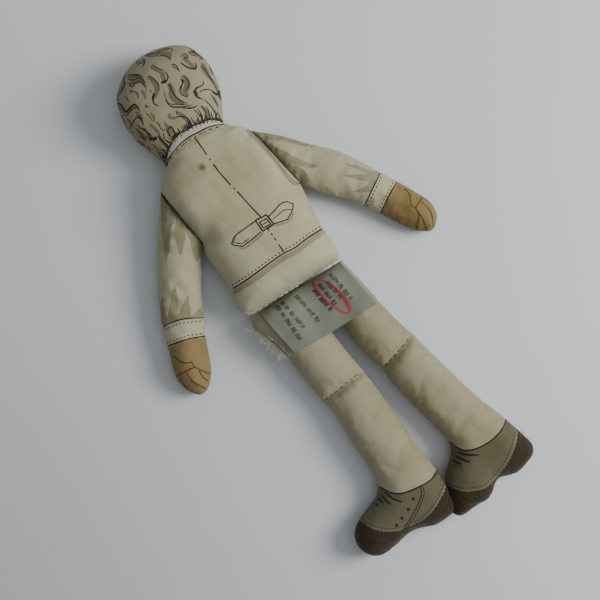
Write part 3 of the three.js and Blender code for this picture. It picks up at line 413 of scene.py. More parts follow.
        ('ink', 0.32, 0, [(-36.39, 5.72), (-36.11, 5.59), (-35.84, 5.46)]),
        ('ink', 0.32, 0, [(-35.27, 5.2), (-34.99, 5.07), (-34.72, 4.94)]),
        ('hand', 0, 0, [(-46.54, 7.36), (-42.21, 6.54), (-38.57, 5.55), (-34.1, 3.48), (-35.19, -0.86), (-37.78, -6.73), (-41.36, -11.21), (-46.4, -12.53), (-49.25, -8.85), (-50.94, -4.41), (-49.5, 1.43)]),
        ('tline', 0.42, 0, [(-46.45, 3.63), (-45.85, 3.52), (-45.09, 1.28), (-43.17, -0.54), (-42.25, -0.75), (-42.0, -2.67), (-40.99, -4.69), (-39.63, -7.05)]),
        ('tline', 0.42, 0, [(-42.05, -2.75), (-45.89, -2.35), (-49.49, -2.24)]),
        ('tline', 0.42, 0, [(-45.16, -2.92), (-45.2, -5.41), (-44.27, -8.1), (-42.93, -10.97)]),
        ('tline', 0.42, 0, [(-48.02, -2.88), (-48.14, -6.81), (-47.2, -9.17), (-45.83, -11.76)]),
        ('tline', 0.42, 0, [(-41.55, -4.34), (-41.73, -6.63), (-41.35, -8.82)]),
    ],
    'thighL': [
    ],
    'thighR': [
    ],
    'shinL': [
        ('shoe', 0, 0, [(-13.92, -65.69), (-12.58, -67.06), (-10.54, -69.66), (-7.4, -71.39), (-2.7, -72.26), (1.25, -72.65), (7.08, -72.21), (10.76, -82.41), (4.58, -81.51), (5.09, -77.44), (1.17, -79.43), (-3.21, -81.38), (-8.11, -82.48), (-11.96, -81.93), (-14.69, -81.25), (-18.61, -79.04), (-21.89, -75.91), (-23.65, -72.96), (-26.48, -70.12), (-19.87, -66.8)]),
        ('sole', 0, 0, [(-25.84, -70.9), (-23.65, -72.96), (-21.89, -75.91), (-18.61, -79.04), (-14.69, -81.25), (-11.96, -81.93), (-8.11, -82.48), (-3.21, -81.38), (1.17, -79.43), (5.09, -77.44), (6.83, -76.18), (8.22, -86.43), (-2.22, -91.08), (-19.85, -89.31), (-26.91, -88.6), (-34.59, -80.0), (-30.36, -73.3)]),
        ('ink', 0.49, 0, [(-12.95, -66.52), (-11.98, -67.96), (-10.54, -69.66), (-7.43, -71.44), (-2.73, -72.31), (1.25, -72.65), (5.7, -72.39)]),
        ('pipe', 0.32, 0, [(-24.17, -71.81), (-23.44, -72.79), (-21.7, -75.62), (-18.39, -78.69), (-14.47, -80.91), (-11.86, -81.54), (-8.16, -82.08), (-3.35, -81.0), (1.04, -79.04), (4.91, -77.07)]),
        ('ink', 0.41, 0, [(-23.97, -72.68), (-23.75, -73.04), (-23.54, -73.39)]),
        ('ink', 0.41, 0, [(-23.29, -73.79), (-23.07, -74.14), (-22.86, -74.49)]),
        ('ink', 0.41, 0, [(-22.61, -74.9), (-22.39, -75.25), (-22.18, -75.6)]),
        ('ink', 0.41, 0, [(-21.93, -76.0), (-21.63, -76.29), (-21.33, -76.57)]),
        ('ink', 0.41, 0, [(-20.98, -76.9), (-20.69, -77.19), (-20.39, -77.47)]),
        ('ink', 0.41, 0, [(-20.04, -77.8), (-19.75, -78.08), (-19.45, -78.37)]),
        ('ink', 0.41, 0, [(-19.1, -78.69), (-18.8, -78.98), (-18.48, -79.22)]),
        ('ink', 0.41, 0, [(-18.06, -79.45), (-17.7, -79.66), (-17.34, -79.86)]),
        ('ink', 0.41, 0, [(-16.93, -80.09), (-16.57, -80.3), (-16.21, -80.5)]),
        ('ink', 0.41, 0, [(-15.8, -80.73), (-15.44, -80.94), (-15.08, -81.14)]),
        ('ink', 0.41, 0, [(-14.66, -81.35), (-14.26, -81.45), (-13.86, -81.55)]),
        ('ink', 0.41, 0, [(-13.4, -81.66), (-13.0, -81.76), (-12.59, -81.85)]),
        ('ink', 0.41, 0, [(-12.13, -81.97), (-11.73, -82.04), (-11.32, -82.09)]),
        ('ink', 0.41, 0, [(-10.85, -82.16), (-10.44, -82.21), (-10.03, -82.26)]),
        ('ink', 0.41, 0, [(-9.56, -82.32), (-9.15, -82.38), (-8.74, -82.43)]),
        ('ink', 0.41, 0, [(-8.27, -82.49), (-7.86, -82.48), (-7.46, -82.39)]),
        ('ink', 0.41, 0, [(-7.0, -82.29), (-6.59, -82.21), (-6.19, -82.12)]),
        ('ink', 0.41, 0, [(-5.72, -82.02), (-5.32, -81.94), (-4.92, -81.85)]),
        ('ink', 0.41, 0, [(-4.45, -81.76), (-4.05, -81.67), (-3.65, -81.58)]),
        ('ink', 0.41, 0, [(-3.18, -81.49), (-2.8, -81.33), (-2.42, -81.16)]),
        ('ink', 0.41, 0, [(-1.99, -80.97), (-1.61, -80.8), (-1.24, -80.63)]),
        ('ink', 0.41, 0, [(-0.8, -80.44), (-0.43, -80.27), (-0.05, -80.11)]),
        ('ink', 0.41, 0, [(0.38, -79.91), (0.76, -79.74), (1.14, -79.58)]),
        ('ink', 0.41, 0, [(1.56, -79.37), (1.93, -79.18), (2.3, -78.99)]),
        ('ink', 0.41, 0, [(2.72, -78.78), (3.09, -78.59), (3.46, -78.4)]),
        ('ink', 0.41, 0, [(3.88, -78.19), (4.25, -78.0), (4.62, -77.82)]),
        ('ink', 0.32, 0, [(-23.03, -72.15), (-22.9, -72.37), (-22.77, -72.58)]),
        ('ink', 0.32, 0, [(-22.48, -73.04), (-22.35, -73.26), (-22.22, -73.47)]),
        ('ink', 0.32, 0, [(-21.94, -73.93), (-21.8, -74.15), (-21.67, -74.37)]),
        ('ink', 0.32, 0, [(-21.39, -74.82), (-21.25, -75.04), (-21.08, -75.23)]),
        ('ink', 0.32, 0, [(-20.69, -75.59), (-20.51, -75.77), (-20.32, -75.94)]),
        ('ink', 0.32, 0, [(-19.93, -76.31), (-19.74, -76.48), (-19.56, -76.66)]),
        ('ink', 0.32, 0, [(-19.16, -77.02), (-18.98, -77.2), (-18.79, -77.37)]),
        ('ink', 0.32, 0, [(-18.4, -77.74), (-18.21, -77.91), (-18.03, -78.09)]),
        ('ink', 0.32, 0, [(-17.56, -78.35), (-17.34, -78.47), (-17.12, -78.6)]),
        ('ink', 0.32, 0, [(-16.65, -78.86), (-16.42, -78.98), (-16.2, -79.1)]),
        ('ink', 0.32, 0, [(-15.73, -79.36), (-15.51, -79.49), (-15.29, -79.61)]),
        ('ink', 0.32, 0, [(-14.82, -79.87), (-14.59, -79.99), (-14.37, -80.12)]),
        ('ink', 0.32, 0, [(-13.87, -80.3), (-13.62, -80.36), (-13.38, -80.42)]),
        ('ink', 0.32, 0, [(-12.85, -80.55), (-12.61, -80.61), (-12.36, -80.67)]),
        ('ink', 0.32, 0, [(-11.84, -80.8), (-11.59, -80.85), (-11.34, -80.89)]),
        ('ink', 0.32, 0, [(-10.8, -80.96), (-10.55, -80.99), (-10.3, -81.02)]),
        ('ink', 0.32, 0, [(-9.77, -81.09), (-9.52, -81.13), (-9.27, -81.16)]),
        ('ink', 0.32, 0, [(-8.73, -81.23), (-8.48, -81.27), (-8.23, -81.3)]),
        ('ink', 0.32, 0, [(-7.7, -81.24), (-7.45, -81.19), (-7.2, -81.13)]),
        ('ink', 0.32, 0, [(-6.68, -81.01), (-6.43, -80.96), (-6.18, -80.9)]),
        ('ink', 0.32, 0, [(-5.66, -80.78), (-5.41, -80.73), (-5.16, -80.67)]),
        ('ink', 0.32, 0, [(-4.64, -80.55), (-4.39, -80.5), (-4.14, -80.44)]),
        ('ink', 0.32, 0, [(-3.62, -80.32), (-3.37, -80.26), (-3.14, -80.16)]),
        ('ink', 0.32, 0, [(-2.65, -79.94), (-2.41, -79.84), (-2.18, -79.74)]),
        ('ink', 0.32, 0, [(-1.68, -79.53), (-1.45, -79.43), (-1.22, -79.33)]),
        ('ink', 0.32, 0, [(-0.72, -79.11), (-0.49, -79.01), (-0.26, -78.91)]),
        ('ink', 0.32, 0, [(0.24, -78.7), (0.47, -78.6), (0.7, -78.5)]),
        ('ink', 0.32, 0, [(1.18, -78.26), (1.41, -78.14), (1.63, -78.03)]),
        ('ink', 0.32, 0, [(2.11, -77.78), (2.34, -77.66), (2.56, -77.55)]),
        ('ink', 0.32, 0, [(3.04, -77.3), (3.27, -77.18), (3.49, -77.07)]),
        ('ink', 0.32, 0, [(3.97, -76.82), (4.2, -76.7), (4.42, -76.59)]),
        ('ink', 0.65, 1, [(-15.48, -68.98), (-14.79, -70.98)]),
        ('ink', 0.65, 1, [(-14.04, -68.61), (-13.55, -70.8), (-12.75, -72.5)]),
        ('ink', 0.65, 1, [(-12.56, -68.27), (-11.59, -70.91), (-9.51, -73.54)]),
        ('ink', 0.65, 1, [(-17.11, -69.9), (-16.71, -71.05)]),
        ('ink', 0, 0, [(-5.51, -74.9), (-5.78, -75.12), (-6.12, -75.14), (-6.41, -74.96), (-6.54, -74.64), (-6.45, -74.31), (-6.19, -74.09), (-5.85, -74.07), (-5.56, -74.25), (-5.43, -74.57)]),
        ('ink', 0, 0, [(-8.56, -76.87), (-8.82, -77.1), (-9.17, -77.11), (-9.46, -76.93), (-9.58, -76.61), (-9.5, -76.28), (-9.24, -76.06), (-8.89, -76.04), (-8.6, -76.23), (-8.47, -76.54)]),
        ('ink', 0, 0, [(-11.68, -78.13), (-11.94, -78.35), (-12.28, -78.37), (-12.57, -78.19), (-12.7, -77.87), (-12.62, -77.54), (-12.35, -77.32), (-12.01, -77.3), (-11.72, -77.48), (-11.59, -77.8)]),
        ('ink', 0, 0, [(-14.33, -79.23), (-14.59, -79.45), (-14.93, -79.47), (-15.22, -79.29), (-15.35, -78.97), (-15.26, -78.64), (-15.0, -78.42), (-14.66, -78.4), (-14.37, -78.58), (-14.24, -78.9)]),
        ('ink', 0.37, 0, [(-2.07, -72.58), (-3.0, -74.69), (-5.91, -76.98), (-9.3, -79.03), (-13.6, -81.56)]),
        ('ink', 0.28, 0, [(-1.36, -72.87), (-2.36, -75.17), (-5.43, -77.65), (-8.83, -79.7), (-12.67, -81.86)]),
        ('soledk', 0.29, 1, [(-24.9, -77.12), (-22.16, -81.1), (-17.2, -82.74), (-11.56, -83.31)]),
        ('soledk', 0.29, 1, [(-8.4, -83.05), (-4.17, -83.48), (0.74, -82.83), (4.38, -80.63)]),
    ],
    'shinR': [
        ('shoe', 0, 0, [(13.36, -66.43), (14.44, -68.88), (16.15, -70.74), (19.62, -71.89), (24.21, -72.17), (28.99, -71.25), (32.73, -69.9), (35.23, -68.63), (38.34, -77.35), (33.11, -75.54), (29.07, -78.61), (24.56, -81.58), (19.92, -83.93), (15.47, -84.27), (11.6, -82.87), (8.5, -81.17), (5.98, -78.53), (3.4, -76.26), (7.46, -69.83)]),
        ('sole', 0, 0, [(3.57, -75.99), (5.98, -78.53), (8.5, -81.17), (11.6, -82.87), (15.47, -84.27), (19.92, -83.93), (24.56, -81.58), (29.07, -78.61), (33.39, -75.08), (35.87, -73.54), (39.32, -81.72), (35.94, -87.08), (24.16, -90.88), (8.36, -92.15), (-0.04, -90.59), (-1.51, -84.03)]),
        ('ink', 0.49, 0, [(14.22, -68.4), (14.99, -69.79), (16.13, -70.77), (19.59, -71.94), (24.18, -72.22), (28.96, -71.3), (33.14, -69.79)]),
        ('pipe', 0.32, 0, [(5.41, -77.23), (6.28, -78.23), (8.75, -80.84), (11.82, -82.52), (15.49, -83.83), (19.83, -83.49), (24.36, -81.19), (28.83, -78.27), (33.12, -74.8)]),
        ('ink', 0.41, 0, [(5.57, -78.16), (5.85, -78.46), (6.14, -78.76)]),
        ('ink', 0.41, 0, [(6.46, -79.11), (6.74, -79.41), (7.02, -79.71)]),
        ('ink', 0.41, 0, [(7.35, -80.06), (7.63, -80.36), (7.91, -80.66)]),
        ('ink', 0.41, 0, [(8.23, -81.01), (8.53, -81.3), (8.88, -81.5)]),
        ('ink', 0.41, 0, [(9.3, -81.73), (9.66, -81.93), (10.02, -82.13)]),
        ('ink', 0.41, 0, [(10.43, -82.36), (10.79, -82.56), (11.15, -82.77)]),
        ('ink', 0.41, 0, [(11.57, -82.99), (11.96, -83.13), (12.35, -83.27)]),
        ('ink', 0.41, 0, [(12.8, -83.43), (13.19, -83.57), (13.57, -83.7)]),
        ('ink', 0.41, 0, [(14.02, -83.86), (14.41, -84.0), (14.8, -84.14)]),
        ('ink', 0.41, 0, [(15.25, -84.3), (15.64, -84.37), (16.05, -84.34)]),
        ('ink', 0.41, 0, [(16.53, -84.31), (16.94, -84.28), (17.35, -84.26)]),
        ('ink', 0.41, 0, [(17.83, -84.22), (18.24, -84.2), (18.65, -84.17)]),
        ('ink', 0.41, 0, [(19.12, -84.14), (19.53, -84.11), (19.94, -84.08)]),
        ('ink', 0.41, 0, [(20.37, -83.88), (20.74, -83.69), (21.11, -83.5)]),
        ('ink', 0.41, 0, [(21.53, -83.29), (21.9, -83.1), (22.26, -82.91)]),
        ('ink', 0.41, 0, [(22.69, -82.7), (23.05, -82.51), (23.42, -82.32)]),
        ('ink', 0.41, 0, [(23.84, -82.1), (24.21, -81.92), (24.58, -81.73)]),
        ('ink', 0.41, 0, [(24.98, -81.47), (25.32, -81.25), (25.67, -81.02)]),
        ('ink', 0.41, 0, [(26.06, -80.76), (26.41, -80.53), (26.75, -80.3)]),
        ('ink', 0.41, 0, [(27.15, -80.04), (27.49, -79.82), (27.84, -79.59)]),
        ('ink', 0.41, 0, [(28.23, -79.33), (28.58, -79.1), (28.92, -78.87)]),
        ('ink', 0.41, 0, [(29.31, -78.6), (29.63, -78.34), (29.95, -78.08)]),
        ('ink', 0.41, 0, [(30.32, -77.78), (30.64, -77.53), (30.96, -77.27)]),
        ('ink', 0.41, 0, [(31.34, -76.97), (31.66, -76.72), (31.98, -76.46)]),
        ('ink', 0.41, 0, [(32.35, -76.16), (32.67, -75.9), (32.99, -75.65)]),
        ('ink', 0.32, 0, [(6.11, -77.07), (6.29, -77.25), (6.46, -77.44)]),
        ('ink', 0.32, 0, [(6.84, -77.82), (7.02, -78.0), (7.19, -78.19)]),
        ('ink', 0.32, 0, [(7.57, -78.57), (7.75, -78.75), (7.92, -78.93)]),
        ('ink', 0.32, 0, [(8.3, -79.32), (8.48, -79.5), (8.65, -79.68)]),
        ('ink', 0.32, 0, [(9.03, -80.07), (9.22, -80.23), (9.44, -80.35)]),
        ('ink', 0.32, 0, [(9.92, -80.61), (10.14, -80.72), (10.37, -80.84)]),
        ('ink', 0.32, 0, [(10.84, -81.1), (11.07, -81.22), (11.29, -81.33)]),
        ('ink', 0.32, 0, [(11.77, -81.59), (11.99, -81.71), (12.22, -81.81)]),
        ('ink', 0.32, 0, [(12.73, -81.99), (12.97, -82.08), (13.21, -82.16)]),
        ('ink', 0.32, 0, [(13.72, -82.34), (13.95, -82.42), (14.19, -82.51)]),
        ('ink', 0.32, 0, [(14.7, -82.69), (14.94, -82.77), (15.18, -82.86)]),
        ('ink', 0.32, 0, [(15.69, -83.01), (15.94, -82.98), (16.2, -82.96)]),
        ('ink', 0.32, 0, [(16.73, -82.91), (16.98, -82.88), (17.24, -82.86)]),
        ('ink', 0.32, 0, [(17.77, -82.8), (18.03, -82.78), (18.28, -82.75)]),
        ('ink', 0.32, 0, [(18.81, -82.7), (19.07, -82.68), (19.32, -82.65)]),
        ('ink', 0.32, 0, [(19.83, -82.52), (20.06, -82.41), (20.29, -82.3)]),
        ('ink', 0.32, 0, [(20.77, -82.06), (21.0, -81.95), (21.23, -81.84)]),
        ('ink', 0.32, 0, [(21.71, -81.6), (21.94, -81.49), (22.17, -81.38)]),
        ('ink', 0.32, 0, [(22.65, -81.14), (22.88, -81.03), (23.11, -80.92)]),
        ('ink', 0.32, 0, [(23.59, -80.68), (23.82, -80.57), (24.04, -80.45)]),
        ('ink', 0.32, 0, [(24.49, -80.15), (24.7, -80.01), (24.92, -79.87)]),
        ('ink', 0.32, 0, [(25.37, -79.58), (25.58, -79.44), (25.79, -79.3)]),
        ('ink', 0.32, 0, [(26.24, -79.0), (26.45, -78.86), (26.66, -78.72)]),
        ('ink', 0.32, 0, [(27.11, -78.43), (27.33, -78.29), (27.54, -78.15)]),
        ('ink', 0.32, 0, [(27.99, -77.85), (28.2, -77.71), (28.41, -77.57)]),
        ('ink', 0.32, 0, [(28.83, -77.23), (29.02, -77.07), (29.22, -76.91)]),
        ('ink', 0.32, 0, [(29.64, -76.57), (29.84, -76.41), (30.03, -76.25)]),
        ('ink', 0.32, 0, [(30.45, -75.91), (30.65, -75.75), (30.84, -75.59)]),
        ('ink', 0.32, 0, [(31.26, -75.25), (31.46, -75.09), (31.66, -74.93)]),
        ('ink', 0.32, 0, [(32.08, -74.59), (32.27, -74.43), (32.47, -74.27)]),
        ('ink', 0.69, 1, [(13.85, -69.81), (15.05, -71.47), (19.0, -74.12)]),
        ('ink', 0.69, 1, [(12.47, -70.74), (13.67, -72.47), (15.37, -74.53)]),
        ('ink', 0.69, 1, [(11.12, -71.39), (11.72, -72.59), (12.62, -73.54)]),
        ('ink', 0.32, 0, [(33.53, -78.43), (30.75, -80.8), (27.05, -83.34)]),
        ('soledk', 0.29, 1, [(33.32, -80.55), (29.77, -83.18), (25.94, -84.51)]),
        ('soledk', 0.29, 1, [(7.6, -82.67), (9.6, -85.43), (12.96, -86.05)]),
    ],
}
ART["legL"] = ART.pop("thighL", []) + ART.pop("shinL", [])
ART["legR"] = ART.pop("thighR", []) + ART.pop("shinR", [])

FRONT_BODY = [
    ('skin', 0, 0, [(-14.2, 80.4), (-15.4, 76.0), (-15.6, 71.0), (-14.8, 66.0), (-12.6, 61.4), (-9.2, 58.2), (-3.6, 57.3), (2.0, 58.2), (5.4, 61.4), (7.6, 66.0), (8.4, 71.0), (8.2, 76.0), (7.0, 80.4), (2.9, 82.6), (-3.6, 83.4), (-10.1, 82.6)]),
    ('skin', 0, 0, [(-14.5, 70.6), (-14.6, 71.73), (-14.9, 72.72), (-15.35, 73.46), (-15.9, 73.85), (-16.5, 73.85), (-17.05, 73.46), (-17.5, 72.72), (-17.8, 71.73), (-17.9, 70.6), (-17.8, 69.47), (-17.5, 68.48), (-17.05, 67.74), (-16.5, 67.35), (-15.9, 67.35), (-15.35, 67.74), (-14.9, 68.48), (-14.6, 69.47)]),
    ('skin', 0, 0, [(10.7, 70.6), (10.6, 71.73), (10.3, 72.72), (9.85, 73.46), (9.3, 73.85), (8.7, 73.85), (8.15, 73.46), (7.7, 72.72), (7.4, 71.73), (7.3, 70.6), (7.4, 69.47), (7.7, 68.48), (8.15, 67.74), (8.7, 67.35), (9.3, 67.35), (9.85, 67.74), (10.3, 68.48), (10.6, 69.47)]),
    ('tline', 0.18, 1, [(-16.8, 72.6), (-17.1, 70.8), (-16.5, 69.0)]),
    ('white', 0, 0, [(-11.5, 73.1), (-10.3, 74.1), (-8.9, 74.45), (-7.5, 74.1), (-6.3, 73.1), (-7.5, 72.35), (-8.9, 72.1), (-10.3, 72.35)]),
    ('iris', 0, 0, [(-7.85, 73.3), (-7.95, 73.76), (-8.25, 74.12), (-8.67, 74.32), (-9.13, 74.32), (-9.55, 74.12), (-9.85, 73.76), (-9.95, 73.3), (-9.85, 72.84), (-9.55, 72.48), (-9.13, 72.28), (-8.67, 72.28), (-8.25, 72.48), (-7.95, 72.84)]),
    ('ink', 0, 0, [(-8.42, 73.3), (-8.51, 73.58), (-8.75, 73.76), (-9.05, 73.76), (-9.29, 73.58), (-9.38, 73.3), (-9.29, 73.02), (-9.05, 72.84), (-8.75, 72.84), (-8.51, 73.02)]),
    ('glint', 0, 0, [(-8.35, 73.75), (-8.41, 73.89), (-8.55, 73.95), (-8.69, 73.89), (-8.75, 73.75), (-8.69, 73.61), (-8.55, 73.55), (-8.41, 73.61)]),
    ('ink', 0.34, 1, [(-11.6, 73.0), (-10.3, 74.15), (-8.9, 74.5), (-7.5, 74.15), (-6.2, 73.0)]),
    ('tline', 0.16, 1, [(-11.1, 72.6), (-8.9, 71.95), (-6.7, 72.6)]),
    ('tline', 0.14, 1, [(-11.0, 75.2), (-8.9, 75.7), (-6.8, 75.1)]),
    ('hair', 0.62, 1, [(-6.0, 76.6), (-7.9, 77.5), (-10.3, 77.5), (-12.2, 76.5)]),
    ('blush', 0, 0, [(-8.7, 67.2), (-8.81, 67.68), (-9.14, 68.1), (-9.65, 68.41), (-10.27, 68.58), (-10.93, 68.58), (-11.55, 68.41), (-12.06, 68.1), (-12.39, 67.68), (-12.5, 67.2), (-12.39, 66.72), (-12.06, 66.3), (-11.55, 65.99), (-10.93, 65.82), (-10.27, 65.82), (-9.65, 65.99), (-9.14, 66.3), (-8.81, 66.72)]),
    ('ink', 0.24, 1, [(-4.3, 66.0), (-4.7, 66.35), (-5.1, 66.0)]),
    ('tline', 0.18, 1, [(-5.3, 67.4), (-5.7, 66.5), (-5.2, 65.7)]),
    ('tline', 0.18, 1, [(9.6, 72.6), (9.9, 70.8), (9.3, 69.0)]),
    ('white', 0, 0, [(-0.9, 73.1), (0.3, 74.1), (1.7, 74.45), (3.1, 74.1), (4.3, 73.1), (3.1, 72.35), (1.7, 72.1), (0.3, 72.35)]),
    ('iris', 0, 0, [(2.75, 73.3), (2.65, 73.76), (2.35, 74.12), (1.93, 74.32), (1.47, 74.32), (1.05, 74.12), (0.75, 73.76), (0.65, 73.3), (0.75, 72.84), (1.05, 72.48), (1.47, 72.28), (1.93, 72.28), (2.35, 72.48), (2.65, 72.84)]),
    ('ink', 0, 0, [(2.18, 73.3), (2.09, 73.58), (1.85, 73.76), (1.55, 73.76), (1.31, 73.58), (1.22, 73.3), (1.31, 73.02), (1.55, 72.84), (1.85, 72.84), (2.09, 73.02)]),
    ('glint', 0, 0, [(2.25, 73.75), (2.19, 73.89), (2.05, 73.95), (1.91, 73.89), (1.85, 73.75), (1.91, 73.61), (2.05, 73.55), (2.19, 73.61)]),
    ('ink', 0.34, 1, [(-1.0, 73.0), (0.3, 74.15), (1.7, 74.5), (3.1, 74.15), (4.4, 73.0)]),
    ('tline', 0.16, 1, [(-0.5, 72.6), (1.7, 71.95), (3.9, 72.6)]),
    ('tline', 0.14, 1, [(-0.4, 75.2), (1.7, 75.7), (3.8, 75.1)]),
    ('hair', 0.62, 1, [(-1.2, 76.6), (0.7, 77.5), (3.1, 77.5), (5.0, 76.5)]),
    ('blush', 0, 0, [(5.3, 67.2), (5.19, 67.68), (4.86, 68.1), (4.35, 68.41), (3.73, 68.58), (3.07, 68.58), (2.45, 68.41), (1.94, 68.1), (1.61, 67.68), (1.5, 67.2), (1.61, 66.72), (1.94, 66.3), (2.45, 65.99), (3.07, 65.82), (3.73, 65.82), (4.35, 65.99), (4.86, 66.3), (5.19, 66.72)]),
    ('ink', 0.24, 1, [(-2.9, 66.0), (-2.5, 66.35), (-2.1, 66.0)]),
    ('tline', 0.18, 1, [(-1.9, 67.4), (-1.5, 66.5), (-2.0, 65.7)]),
    ('tline', 0.16, 1, [(-2.4, 73.2), (-2.3, 70.5), (-1.9, 68.0)]),
    ('tline', 0.18, 1, [(-4.5, 65.7), (-3.6, 65.4), (-2.7, 65.7)]),
    ('lip', 0, 0, [(-6.3, 62.35), (-4.8, 62.9), (-4.0, 63.05), (-3.6, 62.9), (-3.2, 63.05), (-2.4, 62.9), (-0.9, 62.35), (-3.6, 62.2)]),
    ('lip2', 0, 0, [(-6.1, 62.3), (-3.6, 62.15), (-1.1, 62.3), (-2.3, 61.5), (-3.6, 61.25), (-4.9, 61.5)]),
    ('ink', 0.2, 1, [(-6.4, 62.35), (-4.6, 62.3), (-3.6, 62.2), (-2.6, 62.3), (-0.8, 62.35)]),
    ('tline', 0.16, 1, [(-4.8, 60.3), (-3.6, 60.05), (-2.4, 60.3)]),
    ('hair', 0.3104786707531802, 1, [(9.45, 75.68), (7.62, 75.66), (7.1, 75.19)]),
    ('hair', 0.3906120576114859, 1, [(9.57, 76.83), (6.84, 76.53), (5.82, 75.98)]),
    ('hair', 0.40193950299922293, 1, [(9.18, 77.88), (6.59, 77.38), (5.68, 76.75)]),
    ('hair', 0.36338431296699586, 1, [(8.37, 78.74), (6.08, 78.19), (5.12, 77.48)]),
    ('hair', 0.439514381088086, 1, [(7.81, 79.72), (6.1, 78.97), (5.74, 78.19)]),
    ('hair', 0.30440845615516327, 1, [(6.6, 80.24), (5.16, 79.7), (4.52, 78.85)]),
    ('hair', 0.40989426056990075, 1, [(6.06, 81.27), (5.4, 80.38), (5.74, 79.46)]),
    ('hair', 0.4441409477233743, 1, [(5.33, 82.23), (3.84, 81.0), (3.45, 80.02)]),
    ('hair', 0.42833192027618167, 1, [(3.89, 82.31), (2.84, 81.55), (2.35, 80.52)]),
    ('hair', 0.29929672427451354, 1, [(3.19, 83.44), (2.1, 82.04), (1.81, 80.96)]),
    ('hair', 0.34186057131860514, 1, [(1.84, 83.49), (0.82, 82.45), (0.27, 81.33)]),
    ('hair', 0.475007940837441, 1, [(0.87, 84.43), (-0.22, 82.78), (-0.76, 81.63)]),
    ('hair', 0.3633396085059451, 1, [(-0.36, 84.81), (-1.48, 83.03), (-2.19, 81.86)]),
    ('hair', 0.37343957738557004, 1, [(-1.7, 84.61), (-2.61, 83.2), (-3.33, 82.01)]),
    ('hair', 0.4113060411874385, 1, [(-2.94, 85.15), (-3.59, 83.29), (-4.15, 82.09)]),
    ('hair', 0.4769667588731885, 1, [(-4.22, 84.31), (-4.04, 83.29), (-3.92, 82.09)]),
    ('hair', 0.29837079144493006, 1, [(-5.45, 84.3), (-5.94, 83.2), (-6.58, 82.01)]),
    ('hair', 0.29866404359083765, 1, [(-6.76, 84.46), (-7.01, 83.03), (-7.61, 81.86)]),
    ('hair', 0.372423633449826, 1, [(-7.96, 84.11), (-6.81, 82.78), (-6.11, 81.63)]),
    ('hair', 0.3005519157214946, 1, [(-9.1, 83.62), (-8.23, 82.45), (-7.89, 81.33)]),
    ('hair', 0.4139554366344195, 1, [(-10.32, 83.31), (-9.87, 82.04), (-10.15, 80.96)]),
    ('hair', 0.4021133583062105, 1, [(-11.63, 83.06), (-10.96, 81.55), (-11.38, 80.52)]),
    ('hair', 0.3390283215203444, 1, [(-12.41, 82.09), (-11.7, 81.0), (-11.96, 80.02)]),
    ('hair', 0.30669383742738676, 1, [(-13.64, 81.64), (-11.31, 80.38), (-10.36, 79.46)]),
    ('hair', 0.332092941668501, 1, [(-14.26, 80.6), (-12.1, 79.7), (-11.19, 78.85)]),
    ('hair', 0.36050830875371753, 1, [(-14.92, 79.67), (-14.01, 78.97), (-14.35, 78.19)]),
    ('hair', 0.45041750022245197, 1, [(-15.62, 78.77), (-13.79, 78.19), (-13.35, 77.48)]),
    ('hair', 0.4700879331974378, 1, [(-15.57, 77.55), (-14.59, 77.38), (-14.48, 76.75)]),
    ('hair', 0.3684774664322278, 1, [(-16.48, 76.74), (-14.8, 76.53), (-14.54, 75.98)]),
    ('hair', 0.2840406553698162, 1, [(-17.21, 75.78), (-14.89, 75.66), (-14.44, 75.19)]),
    ('hair', 0.32, 1, [(-16.2, 80.69), (-14.8, 81.65), (-13.6, 80.65), (-12.8, 81.01)]),
    ('hshade', 0.3532899378559896, 1, [(6.13, 81.06), (7.53, 82.28), (8.73, 81.28), (9.53, 81.9)]),
    ('hair', 0.32, 1, [(-10.21, 85.3), (-8.81, 85.42), (-7.61, 84.42), (-6.81, 83.94)]),
    ('hshade', 0.5983983606669843, 1, [(10.19, 74.9), (11.59, 74.97), (12.79, 73.97), (13.59, 73.43)]),
    ('hair', 0.32, 1, [(-13.32, 83.92), (-11.92, 84.15), (-10.72, 83.15), (-9.92, 82.78)]),
    ('hshade', 0.540542415573644, 1, [(-1.84, 86.78), (-0.44, 86.47), (0.76, 85.47), (1.56, 84.55)]),
    ('hair', 0.32, 1, [(1.02, 86.39), (2.42, 87.51), (3.62, 86.51), (4.42, 87.02)]),
    ('hshade', 0.4553472341420098, 1, [(-11.72, 84.94), (-10.32, 84.91), (-9.12, 83.91), (-8.32, 83.29)]),
    ('hair', 0.32, 1, [(10.64, 74.62), (12.04, 76.2), (13.24, 75.2), (14.04, 76.19)]),
    ('hshade', 0.30712484143149715, 1, [(-20.65, 75.81), (-19.25, 76.35), (-18.05, 75.35), (-17.25, 75.29)]),
    ('hair', 0.32, 1, [(8.24, 75.2), (9.64, 76.27), (10.84, 75.27), (11.64, 75.73)]),
    ('hshade', 0.3843867055218662, 1, [(-10.43, 86.92), (-9.03, 88.07), (-7.83, 87.07), (-7.03, 87.62)]),
    ('hair', 0.32, 1, [(-7.57, 84.52), (-6.17, 86.31), (-4.97, 85.31), (-4.17, 86.5)]),
    ('hshade', 0.570840266984048, 1, [(-7.62, 86.13), (-6.22, 87.97), (-5.02, 86.97), (-4.22, 88.21)]),
    ('hair', 0.32, 1, [(-14.08, 84.42), (-12.68, 85.5), (-11.48, 84.5), (-10.68, 84.98)]),
    ('hshade', 0.7630228337524312, 1, [(-17.54, 77.98), (-16.14, 78.26), (-14.94, 77.26), (-14.14, 76.94)]),
    ('hair', 0.32, 1, [(-18.36, 77.11), (-16.96, 78.87), (-15.76, 77.87), (-14.96, 79.03)]),
    ('hshade', 0.6778102389889091, 1, [(9.3, 74.32), (10.7, 75.91), (11.9, 74.91), (12.7, 75.89)]),
    ('hair', 0.32, 1, [(9.71, 76.17), (11.11, 77.63), (12.31, 76.63), (13.11, 77.5)]),
